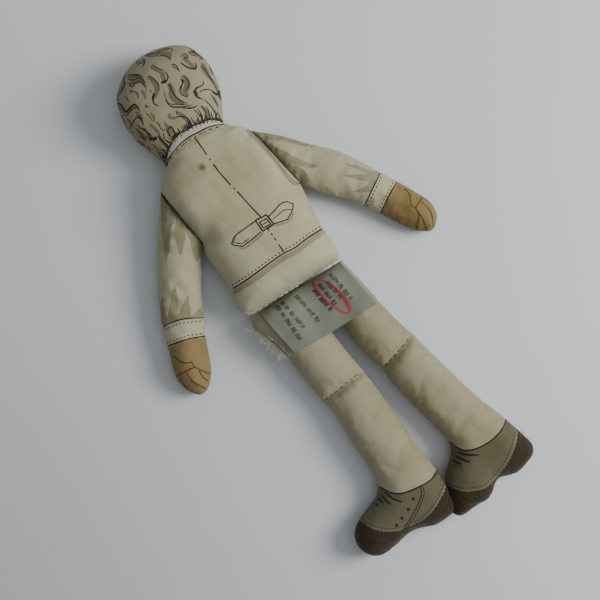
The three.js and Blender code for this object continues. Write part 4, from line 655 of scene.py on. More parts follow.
    ('hshade', 0.6355471888728719, 1, [(8.38, 73.42), (9.78, 74.33), (10.98, 73.33), (11.78, 73.63)]),
    ('hair', 0.32, 1, [(-0.4, 85.03), (1.0, 85.87), (2.2, 84.87), (3.0, 85.12)]),
    ('hshade', 0.31726398727752325, 1, [(-19.29, 76.39), (-17.89, 76.13), (-16.69, 75.13), (-15.89, 74.27)]),
    ('hair', 0.32, 1, [(-20.57, 73.43), (-19.17, 74.12), (-17.97, 73.12), (-17.17, 73.22)]),
    ('hshade', 0.3393474871401055, 1, [(-6.07, 87.87), (-4.67, 87.69), (-3.47, 86.69), (-2.67, 85.91)]),
    ('hair', 0.32, 1, [(-11.29, 85.08), (-9.89, 86.36), (-8.69, 85.36), (-7.89, 86.04)]),
    ('hshade', 0.7197123549506076, 1, [(-14.78, 83.05), (-13.38, 84.8), (-12.18, 83.8), (-11.38, 84.96)]),
    ('white', 0, 0, [(-9.8, 56.0), (2.6, 56.0), (-3.2, 35.5), (-3.8, 35.2)]),
    ('collar', 0, 0, [(-10.2, 56.4), (-4.4, 54.6), (-7.0, 50.6), (-10.6, 54.4)]),
    ('collar', 0, 0, [(3.0, 56.4), (-2.8, 54.6), (-0.2, 50.6), (3.4, 54.4)]),
    ('tie', 0, 0, [(-5.1, 54.6), (-2.1, 54.6), (-2.6, 52.3), (-4.6, 52.3)]),
    ('tie', 0, 0, [(-4.5, 52.2), (-2.7, 52.2), (-1.7, 40.4), (-3.4, 36.8), (-5.1, 40.4)]),
    ('ink', 0.34, 0, [(-10.0, 56.0), (-7.0, 45.5), (-3.45, 35.2)]),
    ('ink', 0.34, 0, [(-10.8, 55.6), (-13.0, 50.0), (-10.8, 48.6)]),
    ('ink', 0.34, 0, [(-10.8, 48.6), (-12.2, 46.6), (-10.2, 42.5)]),
    ('ink', 0.34, 0, [(-10.2, 42.5), (-7.0, 38.0), (-3.3, 35.0)]),
    ('ink', 0.3, 0, [(-9.0, 24.6), (-12.0, 24.2), (-15.0, 24.6)]),
    ('ink', 0.26, 0, [(-9.0, 24.6), (-9.1, 22.8), (-9.2, 21.6)]),
    ('ink', 0.26, 0, [(-15.0, 24.6), (-15.0, 22.8), (-14.9, 21.6)]),
    ('ink', 0.26, 0, [(-9.2, 21.6), (-12.0, 21.2), (-14.9, 21.6)]),
    ('ink', 0.28, 0, [(-4.4, 54.7), (-6.9, 50.7), (-10.6, 54.4)]),
    ('ink', 0.34, 0, [(2.8, 56.0), (-0.2, 45.5), (-3.45, 35.2)]),
    ('ink', 0.34, 0, [(3.6, 55.6), (5.8, 50.0), (3.6, 48.6)]),
    ('ink', 0.34, 0, [(3.6, 48.6), (5.0, 46.6), (3.0, 42.5)]),
    ('ink', 0.34, 0, [(3.0, 42.5), (-0.2, 38.0), (-3.3, 35.0)]),
    ('ink', 0.3, 0, [(1.8, 24.6), (4.8, 24.2), (7.8, 24.6)]),
    ('ink', 0.26, 0, [(1.8, 24.6), (1.9, 22.8), (2.0, 21.6)]),
    ('ink', 0.26, 0, [(7.8, 24.6), (7.8, 22.8), (7.7, 21.6)]),
    ('ink', 0.26, 0, [(2.0, 21.6), (4.8, 21.2), (7.7, 21.6)]),
    ('ink', 0.28, 0, [(-2.8, 54.7), (-0.3, 50.7), (3.4, 54.4)]),
    ('ink', 0.34, 0, [(-3.4, 35.0), (-3.2, 24.0), (-3.0, 12.4)]),
    ('button', 0, 0, [(-4.05, 32.6), (-4.14, 33.01), (-4.41, 33.34), (-4.79, 33.53), (-5.21, 33.53), (-5.59, 33.34), (-5.86, 33.01), (-5.95, 32.6), (-5.86, 32.19), (-5.59, 31.86), (-5.21, 31.67), (-4.79, 31.67), (-4.41, 31.86), (-4.14, 32.19)]),
    ('ink', 0.18, 0, [(-4.05, 32.6), (-4.14, 33.01), (-4.41, 33.34), (-4.79, 33.53), (-5.21, 33.53), (-5.59, 33.34), (-5.86, 33.01), (-5.95, 32.6), (-5.86, 32.19), (-5.59, 31.86), (-5.21, 31.67), (-4.79, 31.67), (-4.41, 31.86), (-4.14, 32.19), (-4.05, 32.6)]),
    ('ink', 0, 0, [(-5.14, 32.6), (-5.22, 32.74), (-5.38, 32.74), (-5.46, 32.6), (-5.38, 32.46), (-5.22, 32.46)]),
    ('ink', 0, 0, [(-4.54, 32.6), (-4.62, 32.74), (-4.78, 32.74), (-4.86, 32.6), (-4.78, 32.46), (-4.62, 32.46)]),
    ('button', 0, 0, [(-4.05, 26.4), (-4.14, 26.81), (-4.41, 27.14), (-4.79, 27.33), (-5.21, 27.33), (-5.59, 27.14), (-5.86, 26.81), (-5.95, 26.4), (-5.86, 25.99), (-5.59, 25.66), (-5.21, 25.47), (-4.79, 25.47), (-4.41, 25.66), (-4.14, 25.99)]),
    ('ink', 0.18, 0, [(-4.05, 26.4), (-4.14, 26.81), (-4.41, 27.14), (-4.79, 27.33), (-5.21, 27.33), (-5.59, 27.14), (-5.86, 26.81), (-5.95, 26.4), (-5.86, 25.99), (-5.59, 25.66), (-5.21, 25.47), (-4.79, 25.47), (-4.41, 25.66), (-4.14, 25.99), (-4.05, 26.4)]),
    ('ink', 0, 0, [(-5.14, 26.4), (-5.22, 26.54), (-5.38, 26.54), (-5.46, 26.4), (-5.38, 26.26), (-5.22, 26.26)]),
    ('ink', 0, 0, [(-4.54, 26.4), (-4.62, 26.54), (-4.78, 26.54), (-4.86, 26.4), (-4.78, 26.26), (-4.62, 26.26)]),
    ('button', 0, 0, [(-4.05, 20.2), (-4.14, 20.61), (-4.41, 20.94), (-4.79, 21.13), (-5.21, 21.13), (-5.59, 20.94), (-5.86, 20.61), (-5.95, 20.2), (-5.86, 19.79), (-5.59, 19.46), (-5.21, 19.27), (-4.79, 19.27), (-4.41, 19.46), (-4.14, 19.79)]),
    ('ink', 0.18, 0, [(-4.05, 20.2), (-4.14, 20.61), (-4.41, 20.94), (-4.79, 21.13), (-5.21, 21.13), (-5.59, 20.94), (-5.86, 20.61), (-5.95, 20.2), (-5.86, 19.79), (-5.59, 19.46), (-5.21, 19.27), (-4.79, 19.27), (-4.41, 19.46), (-4.14, 19.79), (-4.05, 20.2)]),
    ('ink', 0, 0, [(-5.14, 20.2), (-5.22, 20.34), (-5.38, 20.34), (-5.46, 20.2), (-5.38, 20.06), (-5.22, 20.06)]),
    ('ink', 0, 0, [(-4.54, 20.2), (-4.62, 20.34), (-4.78, 20.34), (-4.86, 20.2), (-4.78, 20.06), (-4.62, 20.06)]),
    ('oshade2', 0, 0, [(-19.6, 11.6), (-10, 10.9), (0, 10.9), (8, 11.3), (15.8, 12.2), (15.8, 10.8), (8, 9.9), (0, 9.5), (-10, 9.5), (-19.6, 10.2)]),
    ('ink', 0.4, 0, [(-19.5, 12.0), (-10, 11.3), (0, 11.3), (8, 11.7), (15.7, 12.6)]),
    ('ink', 0.28, 0, [(-19.0, 12.87), (-18.68, 12.87), (-18.36, 12.87)]),
    ('ink', 0.28, 0, [(-17.7, 12.8), (-17.38, 12.8), (-17.06, 12.8)]),
    ('ink', 0.28, 0, [(-16.4, 12.74), (-16.08, 12.74), (-15.76, 12.74)]),
    ('ink', 0.28, 0, [(-15.1, 12.67), (-14.78, 12.67), (-14.46, 12.67)]),
    ('ink', 0.28, 0, [(-13.8, 12.61), (-13.48, 12.61), (-13.16, 12.61)]),
    ('ink', 0.28, 0, [(-12.5, 12.55), (-12.18, 12.55), (-11.86, 12.55)]),
    ('ink', 0.28, 0, [(-11.2, 12.49), (-10.88, 12.49), (-10.56, 12.49)]),
    ('ink', 0.28, 0, [(-9.9, 12.44), (-9.58, 12.44), (-9.26, 12.44)]),
    ('ink', 0.28, 0, [(-8.6, 12.4), (-8.28, 12.4), (-7.96, 12.4)]),
    ('ink', 0.28, 0, [(-7.3, 12.37), (-6.98, 12.37), (-6.66, 12.37)]),
    ('ink', 0.28, 0, [(-6.0, 12.34), (-5.68, 12.34), (-5.36, 12.34)]),
    ('ink', 0.28, 0, [(-4.7, 12.32), (-4.38, 12.32), (-4.06, 12.32)]),
    ('ink', 0.28, 0, [(-3.4, 12.3), (-3.08, 12.3), (-2.76, 12.3)]),
    ('ink', 0.28, 0, [(-2.1, 12.3), (-1.78, 12.3), (-1.46, 12.3)]),
    ('ink', 0.28, 0, [(-0.8, 12.3), (-0.48, 12.3), (-0.16, 12.3)]),
    ('ink', 0.28, 0, [(0.5, 12.32), (0.82, 12.32), (1.14, 12.32)]),
    ('ink', 0.28, 0, [(1.8, 12.33), (2.12, 12.33), (2.44, 12.33)]),
    ('ink', 0.28, 0, [(3.1, 12.36), (3.42, 12.36), (3.74, 12.36)]),
    ('ink', 0.28, 0, [(4.4, 12.4), (4.72, 12.4), (5.04, 12.4)]),
    ('ink', 0.28, 0, [(5.7, 12.44), (6.02, 12.44), (6.34, 12.44)]),
    ('ink', 0.28, 0, [(7.0, 12.49), (7.32, 12.49), (7.64, 12.49)]),
    ('ink', 0.28, 0, [(8.3, 12.54), (8.62, 12.54), (8.94, 12.54)]),
    ('ink', 0.28, 0, [(9.6, 12.6), (9.92, 12.6), (10.24, 12.6)]),
    ('ink', 0.28, 0, [(10.9, 12.66), (11.22, 12.66), (11.54, 12.66)]),
    ('ink', 0.28, 0, [(12.2, 12.72), (12.52, 12.72), (12.84, 12.72)]),
    ('ink', 0.28, 0, [(13.5, 12.79), (13.82, 12.79), (14.14, 12.79)]),
    ('ink', 0.28, 0, [(14.8, 12.86), (15.12, 12.86), (15.44, 12.86)]),
]
FRONT = {"body": FRONT_BODY, "armR": ART["armR"], "armL": ART["armL"], "legL": ART["legL"], "legR": ART["legR"]}


# Priority and colour (linear) of each kind of print
def lin(r, g, b):
    f = lambda c: c / 12.92 if c <= 0.04045 else ((c + 0.055) / 1.055) ** 2.4
    return (f(r / 255), f(g / 255), f(b / 255))

CLOTH = lin(167, 163, 136)
# the trousers' own colour, made darker still as painted shade so the legs look less lit
TROUSER_WITH_PAINTED_SHADE = lin(147, 141, 117)
PRINT = {
    "coat": (0, lin(170, 166, 139)),
    # painted shade: the coat's own colour made darker on the arms so they look less lit
    "sleeve_painted_shade": (0, lin(162, 158, 132)),
    "hairbase": (1, lin(143, 136, 112)),
    "oshade": (2, lin(133, 128, 104)),
    "hshade": (2, lin(104, 96, 78)),
    "shoe": (2, lin(91, 87, 70)),
    "hand": (2, lin(131, 113, 76)),
    "cuff": (3, lin(169, 164, 140)),
    "collar": (3, lin(166, 158, 150)),
    "belt": (4, lin(168, 164, 138)),
    "oshade2": (2, lin(136, 131, 106)),
    "stain2": (4, lin(140, 128, 98)),
    "stain": (5, lin(116, 100, 66)),
    "sole": (5, lin(52, 40, 27)),
    "pipe": (6, lin(104, 97, 76)),
    "solelt": (6, lin(88, 70, 52)),
    "soledk": (6, lin(24, 18, 13)),
    "hair": (8, lin(40, 36, 28)),
    "tline": (9, lin(84, 62, 34)),
    "ink": (10, lin(38, 35, 28)),
    "glint": (12, lin(196, 194, 186)),
    "lip2": (6, lin(160, 108, 92)),
    "button": (6, lin(132, 122, 96)),
    "skin": (2, lin(168, 144, 112)),
    "blush": (3, lin(166, 128, 102)),
    "white": (5, lin(176, 170, 150)),
    "iris": (7, lin(72, 80, 72)),
    "lip": (6, lin(134, 88, 74)),
    "tie": (5, lin(74, 64, 52)),
}

# ------------------------------------------------------------------ outlines
def spline(pts, step, closed=False, corners=()):
    """Catmull-Rom through pts, resampled at about step; corners stay sharp."""
    P = np.array(pts, float)
    n = len(P)
    out = []
    last = n if closed else n - 1
    for i in range(last):
        p1, p2 = P[i], P[(i + 1) % n]
        p0 = P[(i - 1) % n] if closed or i > 0 else p1
        p3 = P[(i + 2) % n] if closed or i + 2 < n else p2
        if i in corners:
            p0 = p1
        if (i + 1) % n in corners:
            p3 = p2
        k = max(1, int(math.ceil(np.linalg.norm(p2 - p1) / step)))
        for j in range(k):
            t = j / k
            out.append(0.5 * (2 * p1 + (p2 - p0) * t + (2 * p0 - 5 * p1 + 4 * p2 - p3) * t * t
                              + (3 * p1 - p0 - 3 * p2 + p3) * t ** 3))
    if not closed:
        out.append(P[-1])
    return np.array(out)


def seg_dist(q, line):
    """Distance from points q (n,2) to an open polyline (m,2)."""
    a, b = line[:-1], line[1:]
    ab = b - a
    L2 = np.maximum((ab ** 2).sum(1), 1e-12)
    best = np.full(len(q), 1e9)
    for k in range(len(a)):
        t = np.clip(((q - a[k]) @ ab[k]) / L2[k], 0, 1)
        d = np.hypot(q[:, 0] - a[k, 0] - t * ab[k, 0], q[:, 1] - a[k, 1] - t * ab[k, 1])
        best = np.minimum(best, d)
    return best


def inside(q, poly):
    x, y = q[:, 0], q[:, 1]
    r = np.zeros(len(q), bool)
    a, b = poly, np.roll(poly, -1, 0)
    for (x1, y1), (x2, y2) in zip(a, b):
        if y1 == y2:
            continue
        c = (y1 > y) != (y2 > y)
        r ^= c & (x < (x2 - x1) * (y - y1) / (y2 - y1) + x1)
    return r


def f(t):
    t = np.clip(t, 0, 1)
    return np.sqrt(np.maximum(0, 1 - (1 - t) ** 2))


def smooth(a, b, v):
    t = np.clip((v - a) / (b - a), 0, 1)
    return t * t * (3 - 2 * t)


rng = np.random.default_rng(7)
WAVES = [(rng.normal(0, 1, 2), rng.uniform(0, 6.28), rng.uniform(0.5, 1)) for _ in range(26)]


def noise(q, size, k0=0):
    """Soft lumps about `size` mm across, between about -1 and 1."""
    v = np.zeros(len(q))
    for i, (d, ph, a) in enumerate(WAVES[k0:k0 + 13]):
        v += a * np.sin((q @ (d / size * 2.2)) + ph)
    return v / 4.5


# Rim polylines (closed), millimetres. Stitched lines are straight edges.
HEAD_RIM = [(-15.9, 56.4), (-16.98, 59.75), (-18.17, 63.27), (-19.41, 67.17), (-19.91, 71.84), (-19.37, 76.14), (-18.38, 79.91),
            (-16.33, 82.96), (-12.93, 85.8), (-9.2, 87.72), (-5.78, 88.6), (-2.02, 88.7), (2.17, 88.03), (6.67, 86.31), (9.5, 84.2),
            (11.3, 81.5), (12.4, 78.4), (12.9, 75.2), (12.6, 71.3), (11.7, 67.6), (10.31, 64.2), (8.5, 60.9), (7.3, 58.6)]
TORSO_R = [(7.1, 57.2), (10.25, 54.42), (12.97, 51.24), (14.27, 43.6), (15.73, 35.9), (17.18, 28.36), (16.6, 22.7), (16.1, 17.4), (15.7, 11.3), (15.8, 5.7), (15.6, 3.4), (14.6, 1.7)]
TORSO_L = [(-18.2, 1.7), (-19.7, 2.9), (-20.4, 5.0), (-20.1, 8.1), (-19.6, 13.5), (-19.96, 20.3), (-20.2, 25.6), (-19.11, 28.91), (-20.0, 35.8), (-20.9, 42.9), (-21.78, 49.84), (-18.99, 52.65), (-16.3, 55.3)]
BODY_RIM = HEAD_RIM + TORSO_R + TORSO_L
_c = len(HEAD_RIM)
BODY_CORNERS = {_c + 2, _c + 5, _c + 11, _c + 12, _c + 19, _c + 22}

ARMR_RIM = [(17.18, 28.36), (12.97, 51.24), (19.29, 45.6), (27.03, 37.18), (32.7, 31.4), (36.76, 25.28), (40.83, 18.14), (43.8, 12.81),
            (47.4, 6.34), (49.4, 1.11), (48.9, -3.19), (45.34, -6.3), (41.24, -3.95), (37.48, 1.02), (33.96, 7.26), (30.49, 11.9), (26.0, 17.6), (21.6, 22.2)]
ARML_RIM = [(-21.78, 49.84), (-19.11, 28.91), (-22.6, 23.8), (-25.75, 19.42), (-29.13, 14.06), (-31.65, 8.9), (-34.43, 3.72), (-36.0, -0.35), (-38.15, -5.36),
            (-41.17, -9.5), (-43.82, -11.2), (-45.91, -11.2), (-48.26, -8.15), (-49.4, -4.38), (-49.0, -0.91), (-47.74, 3.32), (-46.17, 7.58), (-44.2, 13.6), (-40.66, 21.35),
            (-35.84, 29.75), (-28.8, 40.1)]
THIGHL_RIM = [(-18.9, 1.5), (-1.2, 1.5), (-0.4, -6.0), (0.35, -14.0), (1.0, -22.0), (2.4, -32.2), (-13.4, -33.9), (-14.6, -27.2), (-15.2, -22.0), (-15.6, -17.4), (-16.4, -12.4),
              (-18.0, -7.4), (-19.6, -2.6)]
THIGHR_RIM = [(1.2, 1.5), (15.2, 1.5), (16.1, -3.1), (17.6, -10.4), (18.5, -17.0), (19.7, -22.5), (20.7, -27.0), (21.95, -31.0), (8.2, -35.25), (6.3, -30.0), (5.4, -24.4), (4.7, -17.4), (3.5, -8.0), (2.2, -2.0)]
SHINL_RIM = [(-13.4, -33.9), (2.4, -32.2), (2.9, -37.0), (3.3, -42.0), (3.5, -47.0), (3.9, -53.0), (4.1, -60.0), (4.7, -67.0), (5.4, -73.0), (5.5, -78.0), (5.3, -81.6), (4.4, -84.9), (1.8, -86.2), (-1.6, -86.5),
             (-5.0, -86.4), (-8.6, -85.0), (-12.4, -84.3), (-17.2, -85.0), (-21.0, -85.5), (-24.6, -85.2), (-27.4, -83.0), (-28.7, -79.6), (-28.2, -76.3), (-26.2, -73.7), (-23.3, -71.8), (-19.9, -70.5),
             (-15.6, -68.8), (-13.3, -66.2), (-12.5, -62.0), (-12.6, -56.0), (-12.9, -49.4), (-12.6, -43.6), (-12.6, -38.8)]
SHINR_RIM = [(8.2, -35.25), (21.95, -31.0), (23.1, -36.4), (24.5, -42.4), (25.7, -47.2), (27.0, -52.4), (28.6, -58.6), (30.5, -64.0), (32.4, -69.3), (33.9, -74.3), (35.0, -78.6), (35.3, -81.8), (33.7, -84.0), (30.2, -85.4), (26.5, -86.2),
             (23.2, -85.4), (20.1, -84.9), (16.8, -87.2), (13.9, -88.4), (10.4, -88.2), (6.3, -88.5), (3.7, -88.1), (2.3, -86.0), (3.2, -82.8), (4.8, -78.6), (7.0, -74.6), (10.2, -71.6), (12.8, -68.4), (13.2, -65.0), (12.1, -59.0), (10.8, -53.6), (9.6, -47.4), (8.3, -41.0)]

LEGL_RIM = THIGHL_RIM[:5] + SHINL_RIM[1:] + [(-13.6, -33.9)] + THIGHL_RIM[7:]
LEGR_RIM = THIGHR_RIM[:7] + SHINR_RIM[1:] + [(8.0, -35.25)] + THIGHR_RIM[9:]

NECK_Y, HIP_Y = 56.4, 1.6


def zc_body(q):
    y = q[:, 1]
    return np.interp(y, [1.6, 14, 50, 57, 70, 82, 89], [9.0, 9.2, 9.4, 9.5, 11.2, 11.4, 11.0])


def top_body(q, d):
    y = q[:, 1]
    R = np.interp(y, [1.6, 8, 45, 54, 57, 62, 70, 80, 90], [13, 14, 14, 10.5, 8.8, 11, 13.5, 13.5, 12])
    H = np.interp(y, [1.6, 8, 20, 45, 53, 57, 62, 70, 82, 90], [9.2, 9.4, 9.6, 9.8, 8.6, 7.2, 9.0, 10.9, 10.9, 9])
    return 0.25 + (H - 0.25) * f(d / R)


# ------------------------------------------------------------------ pieces
SEGS = {
    # name: rim, corners, seam height, loft height, rim radius, stitched edges with their radius, base colour, lower half height
    "body": dict(rim=BODY_RIM, corners=BODY_CORNERS, zc=zc_body, top=top_body, pinch=[((-19.0, 1.7), (15.2, 1.7), 6.5, 0.02), ((12.97, 51.24), (17.18, 28.36), 5.5, 0.22), ((-21.78, 49.84), (-19.11, 28.91), 5.5, 0.22)], base="coat"),
    "armR": dict(rim=ARMR_RIM, corners={0, 1}, zc=lambda q: np.interp(np.hypot(q[:, 0] - 15, q[:, 1] - 40), [0, 5, 12, 30, 56], [9.2, 8.7, 7.1, 5.8, 4.3]),
                 H=5.3, R=6.6, pinch=[((12.97, 51.24), (17.18, 28.36), 3.6, 0.45)], base="sleeve_painted_shade"),
    "armL": dict(rim=ARML_RIM, corners={0, 1}, zc=lambda q: np.interp(np.hypot(q[:, 0] + 20.4, q[:, 1] - 39.4), [0, 5, 12, 30, 56], [9.2, 8.7, 7.1, 5.8, 4.3]),
                 H=5.3, R=6.6, pinch=[((-21.78, 49.84), (-19.11, 28.91), 3.6, 0.45)], base="sleeve_painted_shade"),
    "legL": dict(rim=LEGL_RIM, corners={0, 1}, zc=lambda q: np.interp(q[:, 1], [-88, -70, -34, -14, -6, 1.6], [6.0, 6.4, 6.6, 6.7, 7.6, 9.0]), H=6.2, R=8.0,
                 pinch=[((-18.9, 1.5), (-1.2, 1.5), 6.5, 0.02)], tuck=[((-14.2, -33.99), (3.2, -32.11), 3.6)], base="trouser"),
    "legR": dict(rim=LEGR_RIM, corners={0, 1}, zc=lambda q: np.interp(q[:, 1], [-88, -70, -34, -14, -6, 1.6], [6.0, 6.4, 6.6, 6.7, 7.6, 9.0]), H=6.1, R=7.4,
                 pinch=[((1.2, 1.5), (15.2, 1.5), 6.5, 0.02)], tuck=[((7.4, -35.5), (22.75, -30.76), 3.6)], base="trouser"),
}
PRINT["trouser"] = (0, TROUSER_WITH_PAINTED_SHADE)


def side_dist(q, rim, lines):
    """Distance to the side seams: the rim without its stitched straight edges."""
    if not lines:
        return seg_dist(q, np.vstack([rim, rim[:1]]))
    a, b = rim, np.roll(rim, -1, 0)
    mid = (a + b) / 2
    on = np.zeros(len(rim), bool)
    for l in lines:
        on |= seg_dist(mid, np.array(l)) < 0.12
    ab = b - a
    L2 = np.maximum((ab ** 2).sum(1), 1e-12)
    best = np.full(len(q), 1e9)
    for k in np.flatnonzero(~on):
        t = np.clip(((q - a[k]) @ ab[k]) / L2[k], 0, 1)
        best = np.minimum(best, np.hypot(q[:, 0] - a[k, 0] - t * ab[k, 0], q[:, 1] - a[k, 1] - t * ab[k, 1]))
    return best


def lift(seg, q, side, rim, d=None):
    """Height of the cloth above the plan point q on the back (+1) or front (-1) side."""
    s = SEGS[seg]
    zc = s["zc"](q)
    if d is None:
        d = seg_dist(q, np.vstack([rim, rim[:1]]))
    ds = side_dist(q, rim, [e[:2] for e in s["pinch"]])
    if "top" in s:
        h = s["top"](q, ds)
        for a, b, r, low in s["pinch"]:
            h = h * (low + (1 - low) * f(seg_dist(q, np.array([a, b])) / r))
    else:
        h = s["H"] * f(ds / s["R"])
        for a, b, r, low in s["pinch"]:
            dl = seg_dist(q, np.array([a, b]))
            h = h * (low + (1 - low) * f(dl / r))
            # little gathers that run away from the stitched line
            ax = np.array(b) - np.array(a)
            ax = ax / np.linalg.norm(ax)
            along = (q - np.array(a)) @ ax
            g = np.exp(-(dl / 3.0) ** 1.3) * smooth(0.3, 1.2, dl) * smooth(0.2, 2.0, d)
            h = h + 0.20 * g * (np.sin(along * 2.3 + 0.8 * np.sin(along * 0.7)) + 0.5 * np.sin(along * 4.1 + 1))
    for a, b, r, low in s["pinch"]:
        if abs(a[1] - b[1]) < 0.01:          # room for the fold at the hips, more of it towards the front
            cap = 0.35 + (0.95 if side < 0 else 3.4) * seg_dist(q, np.array([a, b]))
            h = cap * h / np.power(np.power(cap, 6) + np.power(np.maximum(h, 1e-6), 6), 1 / 6)
    for a, b, r in s.get("tuck", ()):
        # stitched straight through: a shallow valley with gathers that run away from it
        dl = seg_dist(q, np.array([a, b]))
        h = h * (1 - 0.52 * np.exp(-(dl / (r * 0.42)) ** 1.25))
        ax = np.array(b) - np.array(a)
        ax = ax / np.linalg.norm(ax)
        along = (q - np.array(a)) @ ax
        g = np.exp(-(dl / 3.2) ** 1.3) * smooth(0.15, 1.0, dl) * smooth(0.4, 2.5, ds)
        h = h + 0.22 * g * (np.sin(along * 2.1 + 0.8 * np.sin(along * 0.7)) + 0.6 * np.sin(along * 3.7 + 1))
    lump = smooth(0.5, 5.0, d)
    h = h * (1 + 0.035 * lump * noise(q, 9.0) + 0.012 * lump * noise(q, 3.4, 13))
    # gathers along the side seams
    rimw = np.exp(-((d - 1.6) / 1.5) ** 2)
    h = h + 0.07 * rimw * noise(q, 1.3, 6)
    if side > 0:
        return zc + np.maximum(h, 0.02)
    z = zc - np.maximum(h * 1.06, 0.02)
    return np.where(z < 0.9, 0.9 - 0.9 * np.tanh((0.9 - z) / 0.9), z)      # lies flat on the table


def ribbon(pts, w, taper):
    c = spline(pts, 0.45)
    if len(c) < 3:
        c = np.array([c[0], (c[0] + c[-1]) / 2, c[-1]])
    t = np.gradient(c, axis=0)
    t /= np.maximum(np.linalg.norm(t, axis=1, keepdims=True), 1e-9)
    n = np.stack([-t[:, 1], t[:, 0]], 1)
    u = np.linspace(0, 1, len(c))
    k = (0.22 + 0.78 * np.sin(np.pi * np.clip(u * 0.86 + 0.08, 0, 1)) ** 0.7) if taper else (1 + 0.12 * np.sin(u * 9 + len(c)))
    hw = (w * 0.5 * k)[:, None]
    return c + n * hw, c - n * hw


def ccw(poly):
    """The same closed outline, run anticlockwise."""
    p = np.asarray(poly, float)
    x, y = p[:, 0], p[:, 1]
    area2 = (x * np.roll(y, -1) - np.roll(x, -1) * y).sum()
    return p if area2 > 0 else p[::-1]


def plate(seg, side, art, grid):
    """Triangulates the pocket's plan with the print's shapes as real edges."""
    s = SEGS[seg]
    rim = ccw(spline(s["rim"], 0.7, True, s["corners"]))
    V, E, Fc, kind = [], [], [], []

    def add(poly, k):
        i0 = len(V)
        poly = ccw(poly)
        V.extend([Vector((float(x), float(y))) for x, y in poly])
        Fc.append(list(range(i0, i0 + len(poly))))
        kind.append(k)

    add(rim, None)
    for name, w, taper, pts in art:
        if w == 0:
            add(spline(pts, 0.5, True) if len(pts) > 4 else np.array(pts), name)
        else:
            a, b = ribbon(pts, w, taper)
            i0 = len(V)
            m = len(a)
            V.extend([Vector((float(x), float(y))) for x, y in np.vstack([a, b])])
            for j in range(m - 1):
                quad = [i0 + j, i0 + j + 1, i0 + m + j + 1, i0 + m + j]
                p = np.array([(V[k].x, V[k].y) for k in quad])
                e = np.roll(p, -1, 0) - p
                turn = e[:, 0] * np.roll(e[:, 1], -1) - e[:, 1] * np.roll(e[:, 0], -1)
                if (turn > 1e-7).all():
                    Fc.append(quad)
                    kind.append(name)
                elif (turn < -1e-7).all():
                    Fc.append(quad[::-1])
                    kind.append(name)
                else:                                   # a pinched quad is laid as two triangles
                    for tri in ((0, 1, 2), (0, 2, 3)):
                        q = p[list(tri)]
                        c = (q[1, 0] - q[0, 0]) * (q[2, 1] - q[0, 1]) - (q[1, 1] - q[0, 1]) * (q[2, 0] - q[0, 0])
                        if abs(c) > 1e-5:
                            ids = [quad[k] for k in tri]
                            Fc.append(ids if c > 0 else ids[::-1])
                            kind.append(name)
    # points that carry the curvature: rings inside the rim, then a loose grid
    closed_rim = np.vstack([rim, rim[:1]])
    t = np.roll(rim, -1, 0) - np.roll(rim, 1, 0)
    t /= np.maximum(np.linalg.norm(t, axis=1, keepdims=True), 1e-9)
    nrm = np.stack([-t[:, 1], t[:, 0]], 1)
    if not inside((rim + nrm * 0.05)[:1], rim)[0]:
        nrm = -nrm
    extra = []
    for k, off in enumerate((0.06, 0.18, 0.38, 0.7, 1.15, 1.75, 2.5)):
        q = rim + nrm * off
        q = q[inside(q, rim)]
        q = q[seg_dist(q, closed_rim) > off * 0.93]
        extra.append(q)
    lo, hi = rim.min(0), rim.max(0)
    gx, gy = np.meshgrid(np.arange(lo[0], hi[0], grid), np.arange(lo[1], hi[1], grid * 0.87))
    gx = gx + (np.arange(gx.shape[0]) % 2)[:, None] * grid / 2
    q = np.stack([gx.ravel(), gy.ravel()], 1)
    q = q[inside(q, rim)]
    q = q[seg_dist(q, closed_rim) > 3.0]
    extra.append(q)
    for q in extra:
        V.extend([Vector((float(x), float(y))) for x, y in q])
    r = delaunay_2d_cdt(V, E, Fc, 1, 1e-5, True)
    verts, faces, of_ = r[0], r[2], r[5]
    P = np.array([(v[0], v[1]) for v in verts])
    tris, cols = [], []
    for fa, src in zip(faces, of_):
        if 0 not in src:
            continue
        best, col = -1, PRINT[s["base"]][1]
        names = [kind[i] for i in src if i != 0]
        if seg == "body":
            c = P[fa[0]]
            if c[1] > NECK_Y - 0.2:
                best, col = 1, PRINT["hairbase"][1]
        for nme in names:
            pr, cl = PRINT[nme]
            if pr > best:
                best, col = pr, cl
        for j in range(1, len(fa) - 1):
            tris.append((fa[0], fa[j], fa[j + 1]))
            cols.append(col)
    d = seg_dist(P, closed_rim)
    Z = lift(seg, P, side, rim, d)
    return P, Z, tris, cols, rim


# ------------------------------------------------------------------ cloth simulation
SIM_SCALE = 20.0 * MM              # the pockets are blown up at twenty times their size
CAP = 0.75                         # farthest a point may move, mm


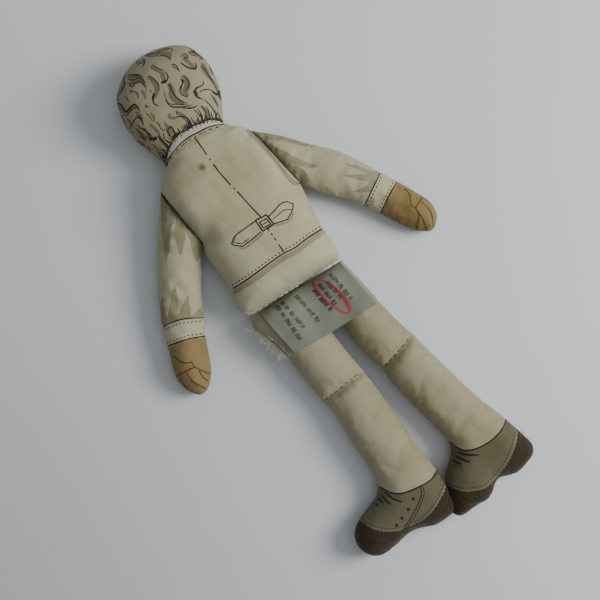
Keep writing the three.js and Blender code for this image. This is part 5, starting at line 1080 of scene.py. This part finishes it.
def simulate():
    """Every pocket as two panels cut a little too large, sewn along the rim and pushed out by its filling."""
    scene = bpy.context.scene
    made = {}
    for seg in SEGS:
        P, Z, tris, _, rim = plate(seg, 1, [], 1.1)
        closed = np.vstack([rim, rim[:1]])
        edge = seg_dist(P, closed) < 1e-3
        held = edge.copy()
        for a, b, r in SEGS[seg].get("tuck", ()):
            held |= seg_dist(P, np.array([a, b])) < 0.6
        zc = SEGS[seg]["zc"](P)
        top = zc + (Z - zc) * 0.95
        low = zc + (lift(seg, P, -1, rim) - zc) * 0.95
        top[edge] = low[edge] = zc[edge]
        n = len(P)
        other = np.arange(n)
        inner = np.flatnonzero(~edge)
        other[inner] = n + np.arange(len(inner))
        V = np.vstack([np.column_stack([P, top]), np.column_stack([P[inner], low[inner]])])
        F = []
        for a, b, c in tris:
            cr = (P[b][0] - P[a][0]) * (P[c][1] - P[a][1]) - (P[b][1] - P[a][1]) * (P[c][0] - P[a][0])
            if cr < 0:
                b, c = c, b
            F.append((a, b, c))
            F.append((int(other[a]), int(other[c]), int(other[b])))
        me = bpy.data.meshes.new("pocket")
        me.from_pydata((V * SIM_SCALE).tolist(), [], F)
        ob = bpy.data.objects.new("pocket", me)
        scene.collection.objects.link(ob)
        g = ob.vertex_groups.new(name="seam")
        g.add([int(i) for i in np.flatnonzero(held)] + [int(other[i]) for i in np.flatnonzero(held & ~edge)], 1.0, 'REPLACE')
        m = ob.modifiers.new("cloth", 'CLOTH')
        st = m.settings
        st.quality = 6
        st.mass = 0.25
        st.tension_stiffness = 18; st.compression_stiffness = 18; st.shear_stiffness = 6
        st.bending_stiffness = 0.10
        st.air_damping = 2.0
        st.use_pressure = True
        st.uniform_pressure_force = 5.0
        st.shrink_min = -0.055
        st.vertex_group_mass = "seam"
        st.effector_weights.gravity = 0
        m.collision_settings.use_collision = False
        m.collision_settings.use_self_collision = False
        m.point_cache.frame_start = 1
        m.point_cache.frame_end = 24
        made[seg] = (ob, V, n, inner, P)
    for fr in range(1, 25):
        scene.frame_set(fr)
    dg = bpy.context.evaluated_depsgraph_get()
    out = {}
    for seg, (ob, V, n, inner, P) in made.items():
        ev = ob.evaluated_get(dg)
        co = np.empty(len(ev.data.vertices) * 3)
        ev.data.vertices.foreach_get("co", co)
        D = co.reshape(-1, 3) / SIM_SCALE - V
        D[~np.isfinite(D).all(1)] = 0
        L = np.linalg.norm(D, axis=1, keepdims=True)
        D *= CAP * np.tanh(L / CAP) / np.maximum(L, 1e-9)
        low = D[:n].copy()
        low[inner] = D[n:]
        tree = KDTree(n)
        for i, (x, y) in enumerate(P):
            tree.insert((x, y, 0), i)
        tree.balance()
        out[seg] = (tree, D[:n], low)
    for seg, (ob, *_) in made.items():
        me = ob.data
        bpy.data.objects.remove(ob)
        bpy.data.meshes.remove(me)
    scene.frame_set(1)
    return out


def moved(seg, P, Z, side):
    """Adds the simulated movement to the print's points."""
    if seg not in SIM:
        return P, Z
    tree, up, low = SIM[seg]
    D = up if side > 0 else low
    M = np.zeros((len(P), 3))
    for i, (x, y) in enumerate(P):
        near = tree.find_n((x, y, 0), 4)
        w = [1 / (d + 0.02) ** 2 for _, _, d in near]
        M[i] = sum(D[k] * wi for (_, k, _), wi in zip(near, w)) / sum(w)
    Z = Z + M[:, 2]
    if side < 0:
        Z = np.where(Z < 0.7, 0.7 - 0.7 * np.tanh((0.7 - Z) / 0.7), Z)
    return P + M[:, :2] * 0.5, Z


SIM = simulate()


def overhang(P, Z):
    P = P.copy()
    dl = np.maximum(0, P[:, 1] - 1.7)
    h = np.clip(np.abs(Z - 9.0) / 9.2, 0, 1)
    P[:, 1] -= 0.6 * h * np.exp(-dl / 4.6)
    return P


def cloth_piece(seg, name, art_top, art_bottom, grid=1.0):
    P, Z, tris, cols, rim = plate(seg, 1, art_top, grid)
    P2, Z2, tris2, cols2, _ = plate(seg, -1, art_bottom, grid * 1.3)
    P, Z = moved(seg, P, Z, 1)
    P2, Z2 = moved(seg, P2, Z2, -1)
    if seg in ("legL", "legR"):    # the top edge of each leg stops just short of the torso's edge, so the seam can turn
        for a in (P, P2):
            a[:, 1] -= 0.55 * np.exp(-np.maximum(0, 1.5 - a[:, 1]) / 2.2)
    if seg == "body":              # the filling hangs a little over the hip seam
        P, P2 = overhang(P, Z), overhang(P2, Z2)
    V = np.vstack([np.column_stack([P, Z]), np.column_stack([P2, Z2])]) * MM
    n = len(P)

    def oriented(T, pts, up):
        out = []
        for a, b, c in T:
            cr = (pts[b][0] - pts[a][0]) * (pts[c][1] - pts[a][1]) - (pts[b][1] - pts[a][1]) * (pts[c][0] - pts[a][0])
            out.append((a, b, c) if (cr > 0) == up else (a, c, b))
        return out
    F = oriented(tris, P, True) + [(a + n, b + n, c + n) for a, b, c in oriented(tris2, P2, False)]
    me = bpy.data.meshes.new(name)
    me.from_pydata(V.tolist(), [], F)
    me.update()
    att = me.color_attributes.new("print", 'FLOAT_COLOR', 'CORNER')
    C = np.ones((len(F), 3, 4), np.float32)
    C[:, :, :3] = np.array(cols + cols2, np.float32)[:, None, :]
    att.data.foreach_set("color", C.ravel())
    me.polygons.foreach_set("use_smooth", [True] * len(me.polygons))
    ob = bpy.data.objects.new(name, me)
    bpy.context.scene.collection.objects.link(ob)
    ob.data.materials.append(COTTON)
    return ob, rim


# ------------------------------------------------------------------ materials
def new_mat(name):
    m = bpy.data.materials.new(name)
    m.use_nodes = True
    nt = m.node_tree
    bsdf = nt.nodes["Principled BSDF"]
    return m, nt, bsdf


def link(nt, a, b):
    nt.links.new(a, b)


def math_node(nt, op, a, b=None):
    n = nt.nodes.new("ShaderNodeMath"); n.operation = op
    for i, v in enumerate((a, b)):
        if v is None:
            continue
        if isinstance(v, (int, float)):
            n.inputs[i].default_value = v
        else:
            nt.links.new(v, n.inputs[i])
    return n.outputs[0]


def weave(nt, pitch_mm, turn=0.0):
    """Height of a plain weave: warp and weft threads that pass over and under."""
    tc = nt.nodes.new("ShaderNodeTexCoord")
    mp = nt.nodes.new("ShaderNodeMapping")
    k = math.pi / (pitch_mm * MM)
    mp.inputs["Scale"].default_value = (k, k, k)
    mp.inputs["Rotation"].default_value = (0, 0, turn)
    nz = nt.nodes.new("ShaderNodeTexNoise"); nz.inputs["Scale"].default_value = 260
    nz.inputs["Detail"].default_value = 2
    link(nt, tc.outputs["Object"], nz.inputs["Vector"])
    add = nt.nodes.new("ShaderNodeVectorMath"); add.operation = 'MULTIPLY_ADD'
    link(nt, nz.outputs["Color"], add.inputs[0])
    add.inputs[1].default_value = (0.0006, 0.0006, 0.0006)
    link(nt, tc.outputs["Object"], add.inputs[2])
    link(nt, add.outputs[0], mp.inputs["Vector"])
    sep = nt.nodes.new("ShaderNodeSeparateXYZ")
    link(nt, mp.outputs[0], sep.inputs[0])
    sx = math_node(nt, 'SINE', sep.outputs[0])
    sy = math_node(nt, 'SINE', sep.outputs[1])
    cx = math_node(nt, 'ABSOLUTE', sx)
    cy = math_node(nt, 'ABSOLUTE', sy)
    prod = math_node(nt, 'MULTIPLY', math_node(nt, 'COSINE', sep.outputs[0]), math_node(nt, 'COSINE', sep.outputs[1]))
    over = math_node(nt, 'MULTIPLY', math_node(nt, 'ADD', cx, cy), 0.5)
    return math_node(nt, 'ADD', over, math_node(nt, 'MULTIPLY', prod, 0.3)), tc


def cotton_material():
    m, nt, bsdf = new_mat("printed_cotton")
    h, tc = weave(nt, 0.56)
    at = nt.nodes.new("ShaderNodeAttribute"); at.attribute_name = "print"
    obj = tc.outputs["Object"]

    def noise_tex(scale, detail=3, rough=0.55, dist=0.0):
        n = nt.nodes.new("ShaderNodeTexNoise")
        n.inputs["Scale"].default_value = scale
        n.inputs["Detail"].default_value = detail
        n.inputs["Roughness"].default_value = rough
        n.inputs["Distortion"].default_value = dist
        link(nt, obj, n.inputs["Vector"])
        return n.outputs["Fac"]

    def ramp(v, a, b, lo, hi):
        r = nt.nodes.new("ShaderNodeMapRange")
        r.inputs["From Min"].default_value = a; r.inputs["From Max"].default_value = b
        r.inputs["To Min"].default_value = lo; r.inputs["To Max"].default_value = hi
        r.clamp = True
        link(nt, v, r.inputs["Value"])
        return r.outputs["Result"]

    def mix(col_a, col_b, fac, mode='MIX'):
        n = nt.nodes.new("ShaderNodeMix"); n.data_type = 'RGBA'; n.blend_type = mode
        for sock, v in ((n.inputs["Factor"], fac), (n.inputs[6], col_a), (n.inputs[7], col_b)):
            if isinstance(v, (int, float)):
                sock.default_value = v
            elif isinstance(v, tuple):
                sock.default_value = (*v, 1)
            else:
                link(nt, v, sock)
        return n.outputs[2]

    # soft ageing: broad yellowing, faint olive damp marks, small specks
    c = mix(at.outputs["Color"], (0.80, 0.74, 0.56), ramp(noise_tex(38, 4), 0.44, 0.70, 0, 0.50), 'MULTIPLY')
    c = mix(c, (0.90, 0.93, 0.80), ramp(noise_tex(75, 3, 0.6, 0.6), 0.50, 0.72, 0, 0.7), 'MULTIPLY')
    c = mix(c, (0.60, 0.50, 0.34), ramp(noise_tex(520, 2), 0.73, 0.82, 0, 0.5), 'MULTIPLY')
    c = mix(c, (0.93, 0.84, 0.78), ramp(noise_tex(55, 2, 0.5, 0.4), 0.56, 0.74, 0, 0.55), 'MULTIPLY')
    c = mix(c, (0.86, 0.86, 0.80), ramp(noise_tex(900, 3), 0.55, 0.8, 0, 0.5), 'MULTIPLY')
    # painted shade: the low parts of the weave are darkened as if shaded between the threads; fine specks of ink and
    # dirt
    c = mix(c, (0.72, 0.72, 0.70), ramp(h, 0.25, 0.9, 0.30, 0.0), 'MULTIPLY')
    fine = noise_tex(2600, 2)
    c = mix(c, (0.80, 0.80, 0.78), ramp(fine, 0.35, 0.75, 0.30, 0.0), 'MULTIPLY')
    link(nt, c, bsdf.inputs["Base Color"])
    link(nt, ramp(fine, 0.2, 0.8, 0.86, 0.98), bsdf.inputs["Roughness"])
    bsdf.inputs["Specular IOR Level"].default_value = 0.18
    bsdf.inputs["Sheen Weight"].default_value = 0.12
    bsdf.inputs["Sheen Roughness"].default_value = 0.5
    b1 = nt.nodes.new("ShaderNodeBump"); b1.inputs["Strength"].default_value = 0.35; b1.inputs["Distance"].default_value = 0.00010
    link(nt, h, b1.inputs["Height"])
    b2 = nt.nodes.new("ShaderNodeBump"); b2.inputs["Strength"].default_value = 0.55; b2.inputs["Distance"].default_value = 0.0005
    link(nt, noise_tex(210, 4, 0.6, 0.3), b2.inputs["Height"])
    link(nt, b1.outputs[0], b2.inputs["Normal"])
    link(nt, b2.outputs[0], bsdf.inputs["Normal"])
    return m


def thread_material(name, col, scale=2400):
    m, nt, bsdf = new_mat(name)
    tc = nt.nodes.new("ShaderNodeTexCoord")
    w = nt.nodes.new("ShaderNodeTexWave"); w.wave_type = 'BANDS'; w.bands_direction = 'DIAGONAL'
    w.inputs["Scale"].default_value = scale; w.inputs["Distortion"].default_value = 1.5
    link(nt, tc.outputs["Object"], w.inputs["Vector"])
    # painted shade and highlight: the twist's bands alternate between a darker and a lighter copy of the thread colour
    n = nt.nodes.new("ShaderNodeMix"); n.data_type = 'RGBA'
    link(nt, w.outputs["Fac"], n.inputs["Factor"])
    n.inputs[6].default_value = (*[c * 0.7 for c in col], 1); n.inputs[7].default_value = (*[min(1, c * 1.25) for c in col], 1)
    link(nt, n.outputs[2], bsdf.inputs["Base Color"])
    bsdf.inputs["Roughness"].default_value = 0.85
    b = nt.nodes.new("ShaderNodeBump"); b.inputs["Strength"].default_value = 0.6; b.inputs["Distance"].default_value = 0.00005
    link(nt, w.outputs["Fac"], b.inputs["Height"]); link(nt, b.outputs[0], bsdf.inputs["Normal"])
    return m


COTTON = cotton_material()
DARK_THREAD = thread_material("dark_thread", lin(58, 52, 42))
PALE_THREAD = thread_material("pale_thread", lin(208, 205, 188))
BROWN_THREAD = thread_material("brown_thread", lin(96, 88, 68))

# ------------------------------------------------------------------ build cloth
def node_names(body):
    return [f"{body}_back_panel", f"{body}_front_panel", f"{body}_stuffing"]


PIECES = {}
for seg, name in (("body", "head_and_torso_cloth"), ("armR", "right_arm_cloth"), ("armL", "left_arm_cloth"), ("legL", "left_leg_cloth"),
                  ("legR", "right_leg_cloth")):
    ob, rim = cloth_piece(seg, name, ART.get(seg, []), FRONT.get(seg, []))
    PIECES[seg] = (ob, rim)

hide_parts(*node_names("torso"), *node_names("head"))
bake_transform(PIECES["body"][0])
for seg, body, p0, p1 in (("armR", "right_arm", (15.08, 39.8), (20.4, 40.8)), ("armL", "left_arm", (-20.45, 39.4), (-25.8, 38.7))):
    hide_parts(*node_names(body))
    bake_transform(PIECES[seg][0])
for seg, side, mid, nx, ny in (("legL", "left", (-5.45, -32.975), 0.110, -0.994), ("legR", "right", (15.05, -33.075), 0.296, -0.955)):
    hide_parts(*node_names(f"{side}_thigh"), *node_names(f"{side}_shin"))
    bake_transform(PIECES[seg][0])

# ------------------------------------------------------------------ stitching
def tube(name, paths, radius, mat, body, taper=False, res=2):
    cu = bpy.data.curves.new(name, 'CURVE')
    cu.dimensions = '3D'; cu.bevel_depth = radius * MM; cu.bevel_resolution = res; cu.resolution_u = 4; cu.use_fill_caps = True
    for p in paths:
        sp = cu.splines.new('POLY'); sp.points.add(len(p) - 1)
        for i, c in enumerate(p):
            sp.points[i].co = (c[0] * MM, c[1] * MM, c[2] * MM, 1)
            if taper:
                sp.points[i].radius = 1 - 0.75 * i / max(1, len(p) - 1)
    ob = bpy.data.objects.new(name, cu)
    bpy.context.scene.collection.objects.link(ob)
    ob.data.materials.append(mat)
    dg = bpy.context.evaluated_depsgraph_get()
    me = bpy.data.meshes.new_from_object(ob.evaluated_get(dg))
    me.polygons.foreach_set("use_smooth", [True] * len(me.polygons))
    ob2 = bpy.data.objects.new(name, me)
    bpy.data.objects.remove(ob)
    ob2.name = name
    bpy.context.scene.collection.objects.link(ob2)
    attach(ob2, body)
    return ob2


def surface(key):
    me = PIECES[key][0].data
    co = np.empty(len(me.vertices) * 3)
    me.vertices.foreach_get("co", co)
    return BVHTree.FromPolygons((co.reshape(-1, 3) / MM).tolist(), [tuple(p.vertices) for p in me.polygons])


TREES = {k: surface(k) for k in PIECES}


def on_cloth(x, y, fallback):
    best = None
    for t in TREES.values():
        hit = t.ray_cast(Vector((x, y, 40)), Vector((0, 0, -1)))[0]
        if hit is not None and (best is None or hit.z > best):
            best = hit.z
    return fallback if best is None else best


def stitches(a, b, z, length, gap, lift_mm, seed, wander=0.12):
    """Short stitches along a line, each a small arc that dips at both ends."""
    r = np.random.default_rng(seed)
    a, b = np.array(a, float), np.array(b, float)
    d = b - a; L = np.linalg.norm(d); d /= L; n = np.array([-d[1], d[0]])
    out, s = [], 0.5
    while s + length < L - 0.3:
        l = length * r.uniform(0.7, 1.15)
        o0, o1 = r.uniform(-wander, wander, 2)
        pts = []
        for t in np.linspace(0, 1, 7):
            p = a + d * (s + l * t) + n * (o0 + (o1 - o0) * t)
            base = z if z is not None else on_cloth(p[0], p[1], 7.0) + 0.05
            pts.append((p[0], p[1], base + lift_mm * math.sin(math.pi * t) - 0.15))
        out.append(pts)
        s += l + gap * r.uniform(0.7, 1.4)
    return out


KNEE_TOP = None
ob = tube("left_knee_stitches", stitches((-13.0, -33.85), (2.1, -32.2), KNEE_TOP, 1.25, 0.85, 0.30, 3), 0.15, DARK_THREAD, "left_thigh")
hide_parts("left_knee_stitching")
ob = tube("right_knee_stitches", stitches((8.6, -35.1), (21.6, -31.1), KNEE_TOP, 1.25, 0.75, 0.30, 4), 0.15, DARK_THREAD, "right_thigh")
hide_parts("right_knee_stitching")
ob = tube("right_armhole_stitches", stitches((13.4, 49.0), (16.9, 30.0), 11.35, 1.5, 0.5, 0.20, 5), 0.09, BROWN_THREAD, "torso")
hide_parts("right_armhole_stitching")
ob = tube("left_armhole_stitches", stitches((-21.5, 47.8), (-19.35, 30.8), 11.35, 1.5, 0.5, 0.20, 6), 0.09, BROWN_THREAD, "torso")
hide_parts("left_armhole_stitching")
ob = tube("hip_seam_stitches", stitches((-18.4, 1.6), (15.0, 1.6), 9.0, 1.7, 0.5, 0.35, 8), 0.16, PALE_THREAD, "hip_seam")
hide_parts("hip_seam_stitching")

# ------------------------------------------------------------------ care label
def label():
    """Thin tape caught in the hip seam: it climbs off the seam and lies over both thighs."""
    x0, W = -16.0, 30.4
    y0 = 0.8
    prof = spline([(0.0, 9.55), (1.2, 10.9), (3.0, 12.35), (5.6, 13.25), (9.0, 13.5), (13.0, 13.62), (17.4, 13.60)], 0.25)
    s = np.concatenate([[0], np.cumsum(np.hypot(*np.diff(prof, axis=0).T))])
    Ltot = s[-1]

    def plan(u, v):
        """u across 0..W mm, v down the tape 0..Ltot mm -> where it lies over the legs"""
        d = np.interp(v, s, prof[:, 0])
        return x0 + u + 0.15 * v, y0 - d * (1 - 0.04 * smooth(14, 0, u))

    # the tape lies on the thighs: a stretched skin over them, held at the seam
    trees = [TREES["legL"], TREES["legR"]]
    nu, nv = 45, 28
    gu, gv = np.linspace(0, W, nu), np.linspace(0, Ltot, nv)
    UU, VV = np.meshgrid(gu, gv)
    GX, GY = plan(UU, VV)
    floor_z = np.full(GX.shape, -9.0)
    for i in range(nv):
        for j in range(nu):
            for t in trees:
                hit = t.ray_cast(Vector((GX[i, j], GY[i, j], 40)), Vector((0, 0, -1)))[0]
                if hit is not None:
                    floor_z[i, j] = max(floor_z[i, j], hit.z + 0.42)
    start = np.interp(gv, [0, 1.5, 3.5, 6, 20], [9.7, 10.7, 12.0, 12.9, 13.1])[:, None] * np.ones((1, nu))
    GZ = np.maximum(start, floor_z)
    GZ[0] = 9.7
    for _ in range(500):
        q = np.pad(GZ, 1, mode='edge')
        avg = (q[:-2, 1:-1] + q[2:, 1:-1] + q[1:-1, :-2] + q[1:-1, 2:]) / 4
        GZ[1:] = np.maximum(avg - 0.0035, floor_z)[1:]
    GZ[1:] += (0.10 * np.sin(UU * 0.55 + VV * 0.35) * smooth(1, 8, VV))[1:] + (0.12 * smooth(14, 19, VV) * np.sin(UU * 0.33 + 1))[1:]
    GZ = np.maximum(GZ, floor_z)

    def at(u, v):
        fi = np.clip(v / Ltot * (nv - 1), 0, nv - 1.001); fj = np.clip(u / W * (nu - 1), 0, nu - 1.001)
        i, j = fi.astype(int), fj.astype(int)
        a_, b_ = fi - i, fj - j
        z = (GZ[i, j] * (1 - b_) + GZ[i, j + 1] * b_) * (1 - a_) + (GZ[i + 1, j] * (1 - b_) + GZ[i + 1, j + 1] * b_) * a_
        x, y = plan(u, v)
        return x, y, z
    V, E, Fc, kind = [], [], [], []

    def add(poly, k):
        i0 = len(V); poly = ccw(np.array(poly, float)); V.extend([Vector((float(a), float(b))) for a, b in poly]); Fc.append(list(range(i0, i0 + len(poly)))); kind.append(k)
    n = 40
    edge = [(W * i / n, 0) for i in range(n)] + [(W, Ltot * i / 24) for i in range(24)] + [(W - W * i / n, Ltot) for i in range(n)] + [(0, Ltot - Ltot * i / 24) for i in range(24)]
    add(edge, None)
    r = np.random.default_rng(21)
    # rows of plain bars, broken up as words are, running down the tape
    rows = [(6.0, 6.6, 1.6, 15.6, 0), (8.0, 9.8, 1.6, 13.4, 0), (12.7, 14.4, 2.4, 13.6, 0), (18.2, 19.3, 4.2, 12.6, 1), (20.6, 21.7, 3.4, 12.8, 0), (23.0, 24.2, 4.4, 11.4, 0), (25.4, 27.0, 2.4, 13.6, 0)]
    for ua, ub, v0, v1, bold in rows:
        v = v0
        while v < v1 - 0.6:
            l = min(r.uniform(1.4, 3.4), v1 - v)
            t = v
            while t < v + l - 0.2:      # each word is a run of short ticks, so it reads as worn print
                u = ua + (ub - ua) * (t - v0) / (v1 - v0) - 0.15 * (t - v0)
                tw = r.uniform(0.26, 0.34) * (1.35 if bold else 1)
                h = r.uniform(0.54, 0.68) * (1.1 if bold else 1)
                up, dn = h + r.choice([0, 0, 0.26]), h + r.choice([0, 0, 0.0, 0.2])
                add([(u - up, t), (u + dn, t + r.uniform(-0.05, 0.05)), (u + dn, t + tw), (u - up, t + tw)], "bar")
                if r.random() < 0.75:
                    k = r.choice([-1, 0, 1]) * h * 0.8
                    add([(u + k - 0.14, t), (u + k + 0.14, t), (u + k + 0.14, t + 0.5), (u + k - 0.14, t + 0.5)], "bar")
                t += 0.56
            v += l + r.uniform(0.55, 0.9)
    # a loop drawn by hand in red marker
    th = np.linspace(0, 2 * np.pi, 72)
    cu, cv, a_, b_ = 21.2, 8.9, 2.5, 7.6
    rot = -0.10
    for kind_name, fat, off in (("halo", 1.05, 0.0), ("pen", 0.34, 0.0), ("pen2", 0.22, 0.55)):
        wob = 1 + 0.04 * np.sin(3 * th + 1 + off)
        ex, ey = (a_ - off) * np.cos(th) * wob, (b_ - off * 0.6) * np.sin(th) * wob
        lx, ly = cu + ex * math.cos(rot) - ey * math.sin(rot), cv + ex * math.sin(rot) + ey * math.cos(rot)
        last = len(th) - 1 if kind_name != "pen2" else 34
        for i in range(last):
            k = fat * (1 + 0.35 * math.sin(th[i] * 2 + 0.7))
            c0, c1 = np.array([lx[i], ly[i]]), np.array([lx[i + 1], ly[i + 1]])
            tg = c1 - c0
            nn = np.array([-tg[1], tg[0]]) / np.linalg.norm(tg)
            quad = np.clip(np.array([c0 - nn * k, c1 - nn * k, c1 + nn * k, c0 + nn * k]), (0.1, 0.1), (W - 0.1, Ltot - 0.1))
            add(quad, kind_name)
    for u in np.arange(0.5, W - 0.3, 0.7):
        for v in np.arange(0.5, Ltot - 0.3, 0.7):
            V.append(Vector((float(u), float(v))))
    res = delaunay_2d_cdt(V, E, Fc, 1, 1e-5, True)
    P = np.array([(v[0], v[1]) for v in res[0]])
    X, Y, Z = at(P[:, 0], P[:, 1])
    tris, cols = [], []
    TAPE, BAR, PEN = lin(107, 111, 97), lin(20, 21, 19), lin(134, 60, 68)
    PENB, HALO = lin(70, 32, 34), lin(122, 102, 96)
    for fa, src in zip(res[2], res[5]):
        if 0 not in src:
            continue
        ks = {kind[i] for i in src if i}
        pen = "pen" in ks or "pen2" in ks
        col = PENB if pen and "bar" in ks else PEN if pen else BAR if "bar" in ks else HALO if "halo" in ks else TAPE
        for j in range(1, len(fa) - 1):
            t3 = (fa[0], fa[j], fa[j + 1])
            a, b, c = (P[i] for i in t3)
            cr = (b[0] - a[0]) * (c[1] - a[1]) - (b[1] - a[1]) * (c[0] - a[0])
            tris.append(t3 if cr < 0 else (t3[0], t3[2], t3[1]))
            cols.append(col)
    me = bpy.data.meshes.new("label_tape")
    me.from_pydata((np.column_stack([X, Y, Z]) * MM).tolist(), [], tris)
    att = me.color_attributes.new("print", 'FLOAT_COLOR', 'CORNER')
    C = np.ones((len(tris), 3, 4), np.float32); C[:, :, :3] = np.array(cols, np.float32)[:, None, :]
    att.data.foreach_set("color", C.ravel())
    me.polygons.foreach_set("use_smooth", [True] * len(me.polygons))
    ob = bpy.data.objects.new("label_tape", me)
    bpy.context.scene.collection.objects.link(ob)
    m, nt, bsdf = new_mat("label_tape")
    h, tc = weave(nt, 0.30)
    atn = nt.nodes.new("ShaderNodeAttribute"); atn.attribute_name = "print"
    nz = nt.nodes.new("ShaderNodeTexNoise"); nz.inputs["Scale"].default_value = 140; nz.inputs["Detail"].default_value = 4
    link(nt, tc.outputs["Object"], nz.inputs["Vector"])
    mx = nt.nodes.new("ShaderNodeMix"); mx.data_type = 'RGBA'; mx.blend_type = 'MULTIPLY'
    mr = nt.nodes.new("ShaderNodeMapRange"); mr.inputs["From Min"].default_value = 0.4; mr.inputs["From Max"].default_value = 0.75
    mr.inputs["To Max"].default_value = 0.45
    link(nt, nz.outputs["Fac"], mr.inputs["Value"]); link(nt, mr.outputs["Result"], mx.inputs["Factor"])
    link(nt, atn.outputs["Color"], mx.inputs[6]); mx.inputs[7].default_value = (0.74, 0.76, 0.66, 1)
    link(nt, mx.outputs[2], bsdf.inputs["Base Color"])
    bsdf.inputs["Roughness"].default_value = 0.62
    bsdf.inputs["Specular IOR Level"].default_value = 0.3
    b = nt.nodes.new("ShaderNodeBump"); b.inputs["Strength"].default_value = 0.25; b.inputs["Distance"].default_value = 0.00004
    link(nt, h, b.inputs["Height"]); link(nt, b.outputs[0], bsdf.inputs["Normal"])
    ob.data.materials.append(m)
    so = ob.modifiers.new("thick", 'SOLIDIFY'); so.thickness = 0.00022; so.offset = -1
    dg = bpy.context.evaluated_depsgraph_get()
    me2 = bpy.data.meshes.new_from_object(ob.evaluated_get(dg))
    ob.modifiers.clear(); ob.data = me2
    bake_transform(ob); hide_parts("care_label")
    return ob


LABEL = label()

# ------------------------------------------------------------------ frayed seams and loose threads
def fray(name, a, b, count, length, out_dir, z, body, seed, radius=0.05):
    r = np.random.default_rng(seed)
    a, b, o = np.array(a, float), np.array(b, float), np.array(out_dir, float)
    paths = []
    for _ in range(count):
        p = a + (b - a) * r.random()
        ang = r.normal(0, 0.7)
        d = np.array([o[0] * math.cos(ang) - o[1] * math.sin(ang), o[0] * math.sin(ang) + o[1] * math.cos(ang)])
        l = length * r.uniform(0.4, 1.3); curl = r.normal(0, 0.5)
        pts, q, zz = [], p.copy(), z + r.uniform(-0.5, 0.7)
        rise = r.uniform(-0.15, 0.35)
        for k in range(7):
            pts.append((q[0], q[1], zz))
            q = q + d * l / 6; zz += rise * l / 6
            c, s_ = math.cos(curl * l / 6), math.sin(curl * l / 6)
            d = np.array([d[0] * c - d[1] * s_, d[0] * s_ + d[1] * c])
        paths.append(pts)
    return tube(name, paths, radius, PALE_THREAD, body, taper=True, res=1)


fray("left_hip_fraying", (-19.4, -1.5), (-15.6, -15.5), 140, 3.0, (-0.96, -0.3), 8.4, "left_thigh", 31, 0.08)
fray("left_hip_closing_stitches", (-18.4, -2.0), (-14.8, -16.0), 60, 2.2, (0.6, 0.8), 10.2, "left_thigh", 32, 0.10)
fray("right_heel_loose_threads", (34.2, -76.0), (35.2, -80.4), 22, 1.7, (0.9, 0.35), 6.4, "right_shin", 33, 0.07)
fray("right_hip_fraying", (15.6, 0.6), (16.4, -5.0), 10, 1.3, (0.95, 0.1), 8.0, "right_thigh", 34, 0.045)

# ------------------------------------------------------------------ floor, light, camera
def floor():
    me = bpy.data.meshes.new("table_top")
    s = 1.6
    me.from_pydata([(-s, -s, 0), (s, -s, 0), (s, s, 0), (-s, s, 0)], [], [(0, 1, 2, 3)])
    ob = bpy.data.objects.new("table_top", me)
    bpy.context.scene.collection.objects.link(ob)
    m, nt, bsdf = new_mat("table_top")
    tc = nt.nodes.new("ShaderNodeTexCoord")
    nz = nt.nodes.new("ShaderNodeTexNoise"); nz.inputs["Scale"].default_value = 9; nz.inputs["Detail"].default_value = 5
    link(nt, tc.outputs["Object"], nz.inputs["Vector"])
    cr = nt.nodes.new("ShaderNodeMix"); cr.data_type = 'RGBA'
    link(nt, nz.outputs["Fac"], cr.inputs["Factor"])
    cr.inputs[6].default_value = (*FLOOR_A, 1); cr.inputs[7].default_value = (*FLOOR_B, 1)
    # painted shade: the floor's colour is multiplied darker towards the lower left, where less light falls
    sp = nt.nodes.new("ShaderNodeVectorMath"); sp.operation = 'DOT_PRODUCT'
    link(nt, tc.outputs["Object"], sp.inputs[0]); sp.inputs[1].default_value = (-0.98, -0.20, 0)
    rg = nt.nodes.new("ShaderNodeMapRange"); rg.inputs["From Min"].default_value = 0.0; rg.inputs["From Max"].default_value = 0.13
    rg.inputs["To Max"].default_value = 1.0; rg.clamp = True
    link(nt, sp.outputs["Value"], rg.inputs["Value"])
    dk = nt.nodes.new("ShaderNodeMix"); dk.data_type = 'RGBA'; dk.blend_type = 'MULTIPLY'
    link(nt, rg.outputs["Result"], dk.inputs["Factor"])
    link(nt, cr.outputs[2], dk.inputs[6]); dk.inputs[7].default_value = (0.80, 0.80, 0.79, 1)
    link(nt, dk.outputs[2], bsdf.inputs["Base Color"])
    bsdf.inputs["Roughness"].default_value = 0.55
    bsdf.inputs["Specular IOR Level"].default_value = 0.25
    ob.data.materials.append(m)


FLOOR_A, FLOOR_B = lin(196, 200, 202), lin(204, 208, 211)
floor()

scene = bpy.context.scene
world = bpy.data.worlds.new("room"); scene.world = world
world.use_nodes = True
bg = world.node_tree.nodes["Background"]
bg.inputs[0].default_value = (0.90, 0.93, 0.95, 1)
bg.inputs[1].default_value = 0.345


def area(name, loc, target, size, power, color):
    li = bpy.data.lights.new(name, 'AREA'); li.shape = 'DISK'; li.size = size; li.energy = power; li.color = color
    ob = bpy.data.objects.new(name, li)
    bpy.context.scene.collection.objects.link(ob)
    ob.location = loc
    ob.rotation_euler = (Vector(target) - Vector(loc)).to_track_quat('-Z', 'Y').to_euler()


RIGHT = Vector((math.cos(TILT), -math.sin(TILT), 0))
UP = Vector((math.sin(TILT), math.cos(TILT), 0))
area("window", tuple(RIGHT * 0.50 + UP * 0.11 + Vector((0, 0, 0.42))), (0, 0, 0), 0.34, 5.15, (1.0, 0.99, 0.965))
area("fill", tuple(RIGHT * 0.2 + UP * 0.1 + Vector((0, 0, 0.9))), (0, 0, 0), 0.8, 1.6, (0.95, 0.975, 1.0))

cam = bpy.data.cameras.new("camera")
cam.lens = 85; cam.sensor_width = 36; cam.clip_start = 0.01
co = bpy.data.objects.new("camera", cam)
scene.collection.objects.link(co)
co.location = (-0.002608, -0.002706, 0.010 + 0.1902 * 85 / 36)
co.rotation_euler = (0, 0, -TILT)
scene.camera = co
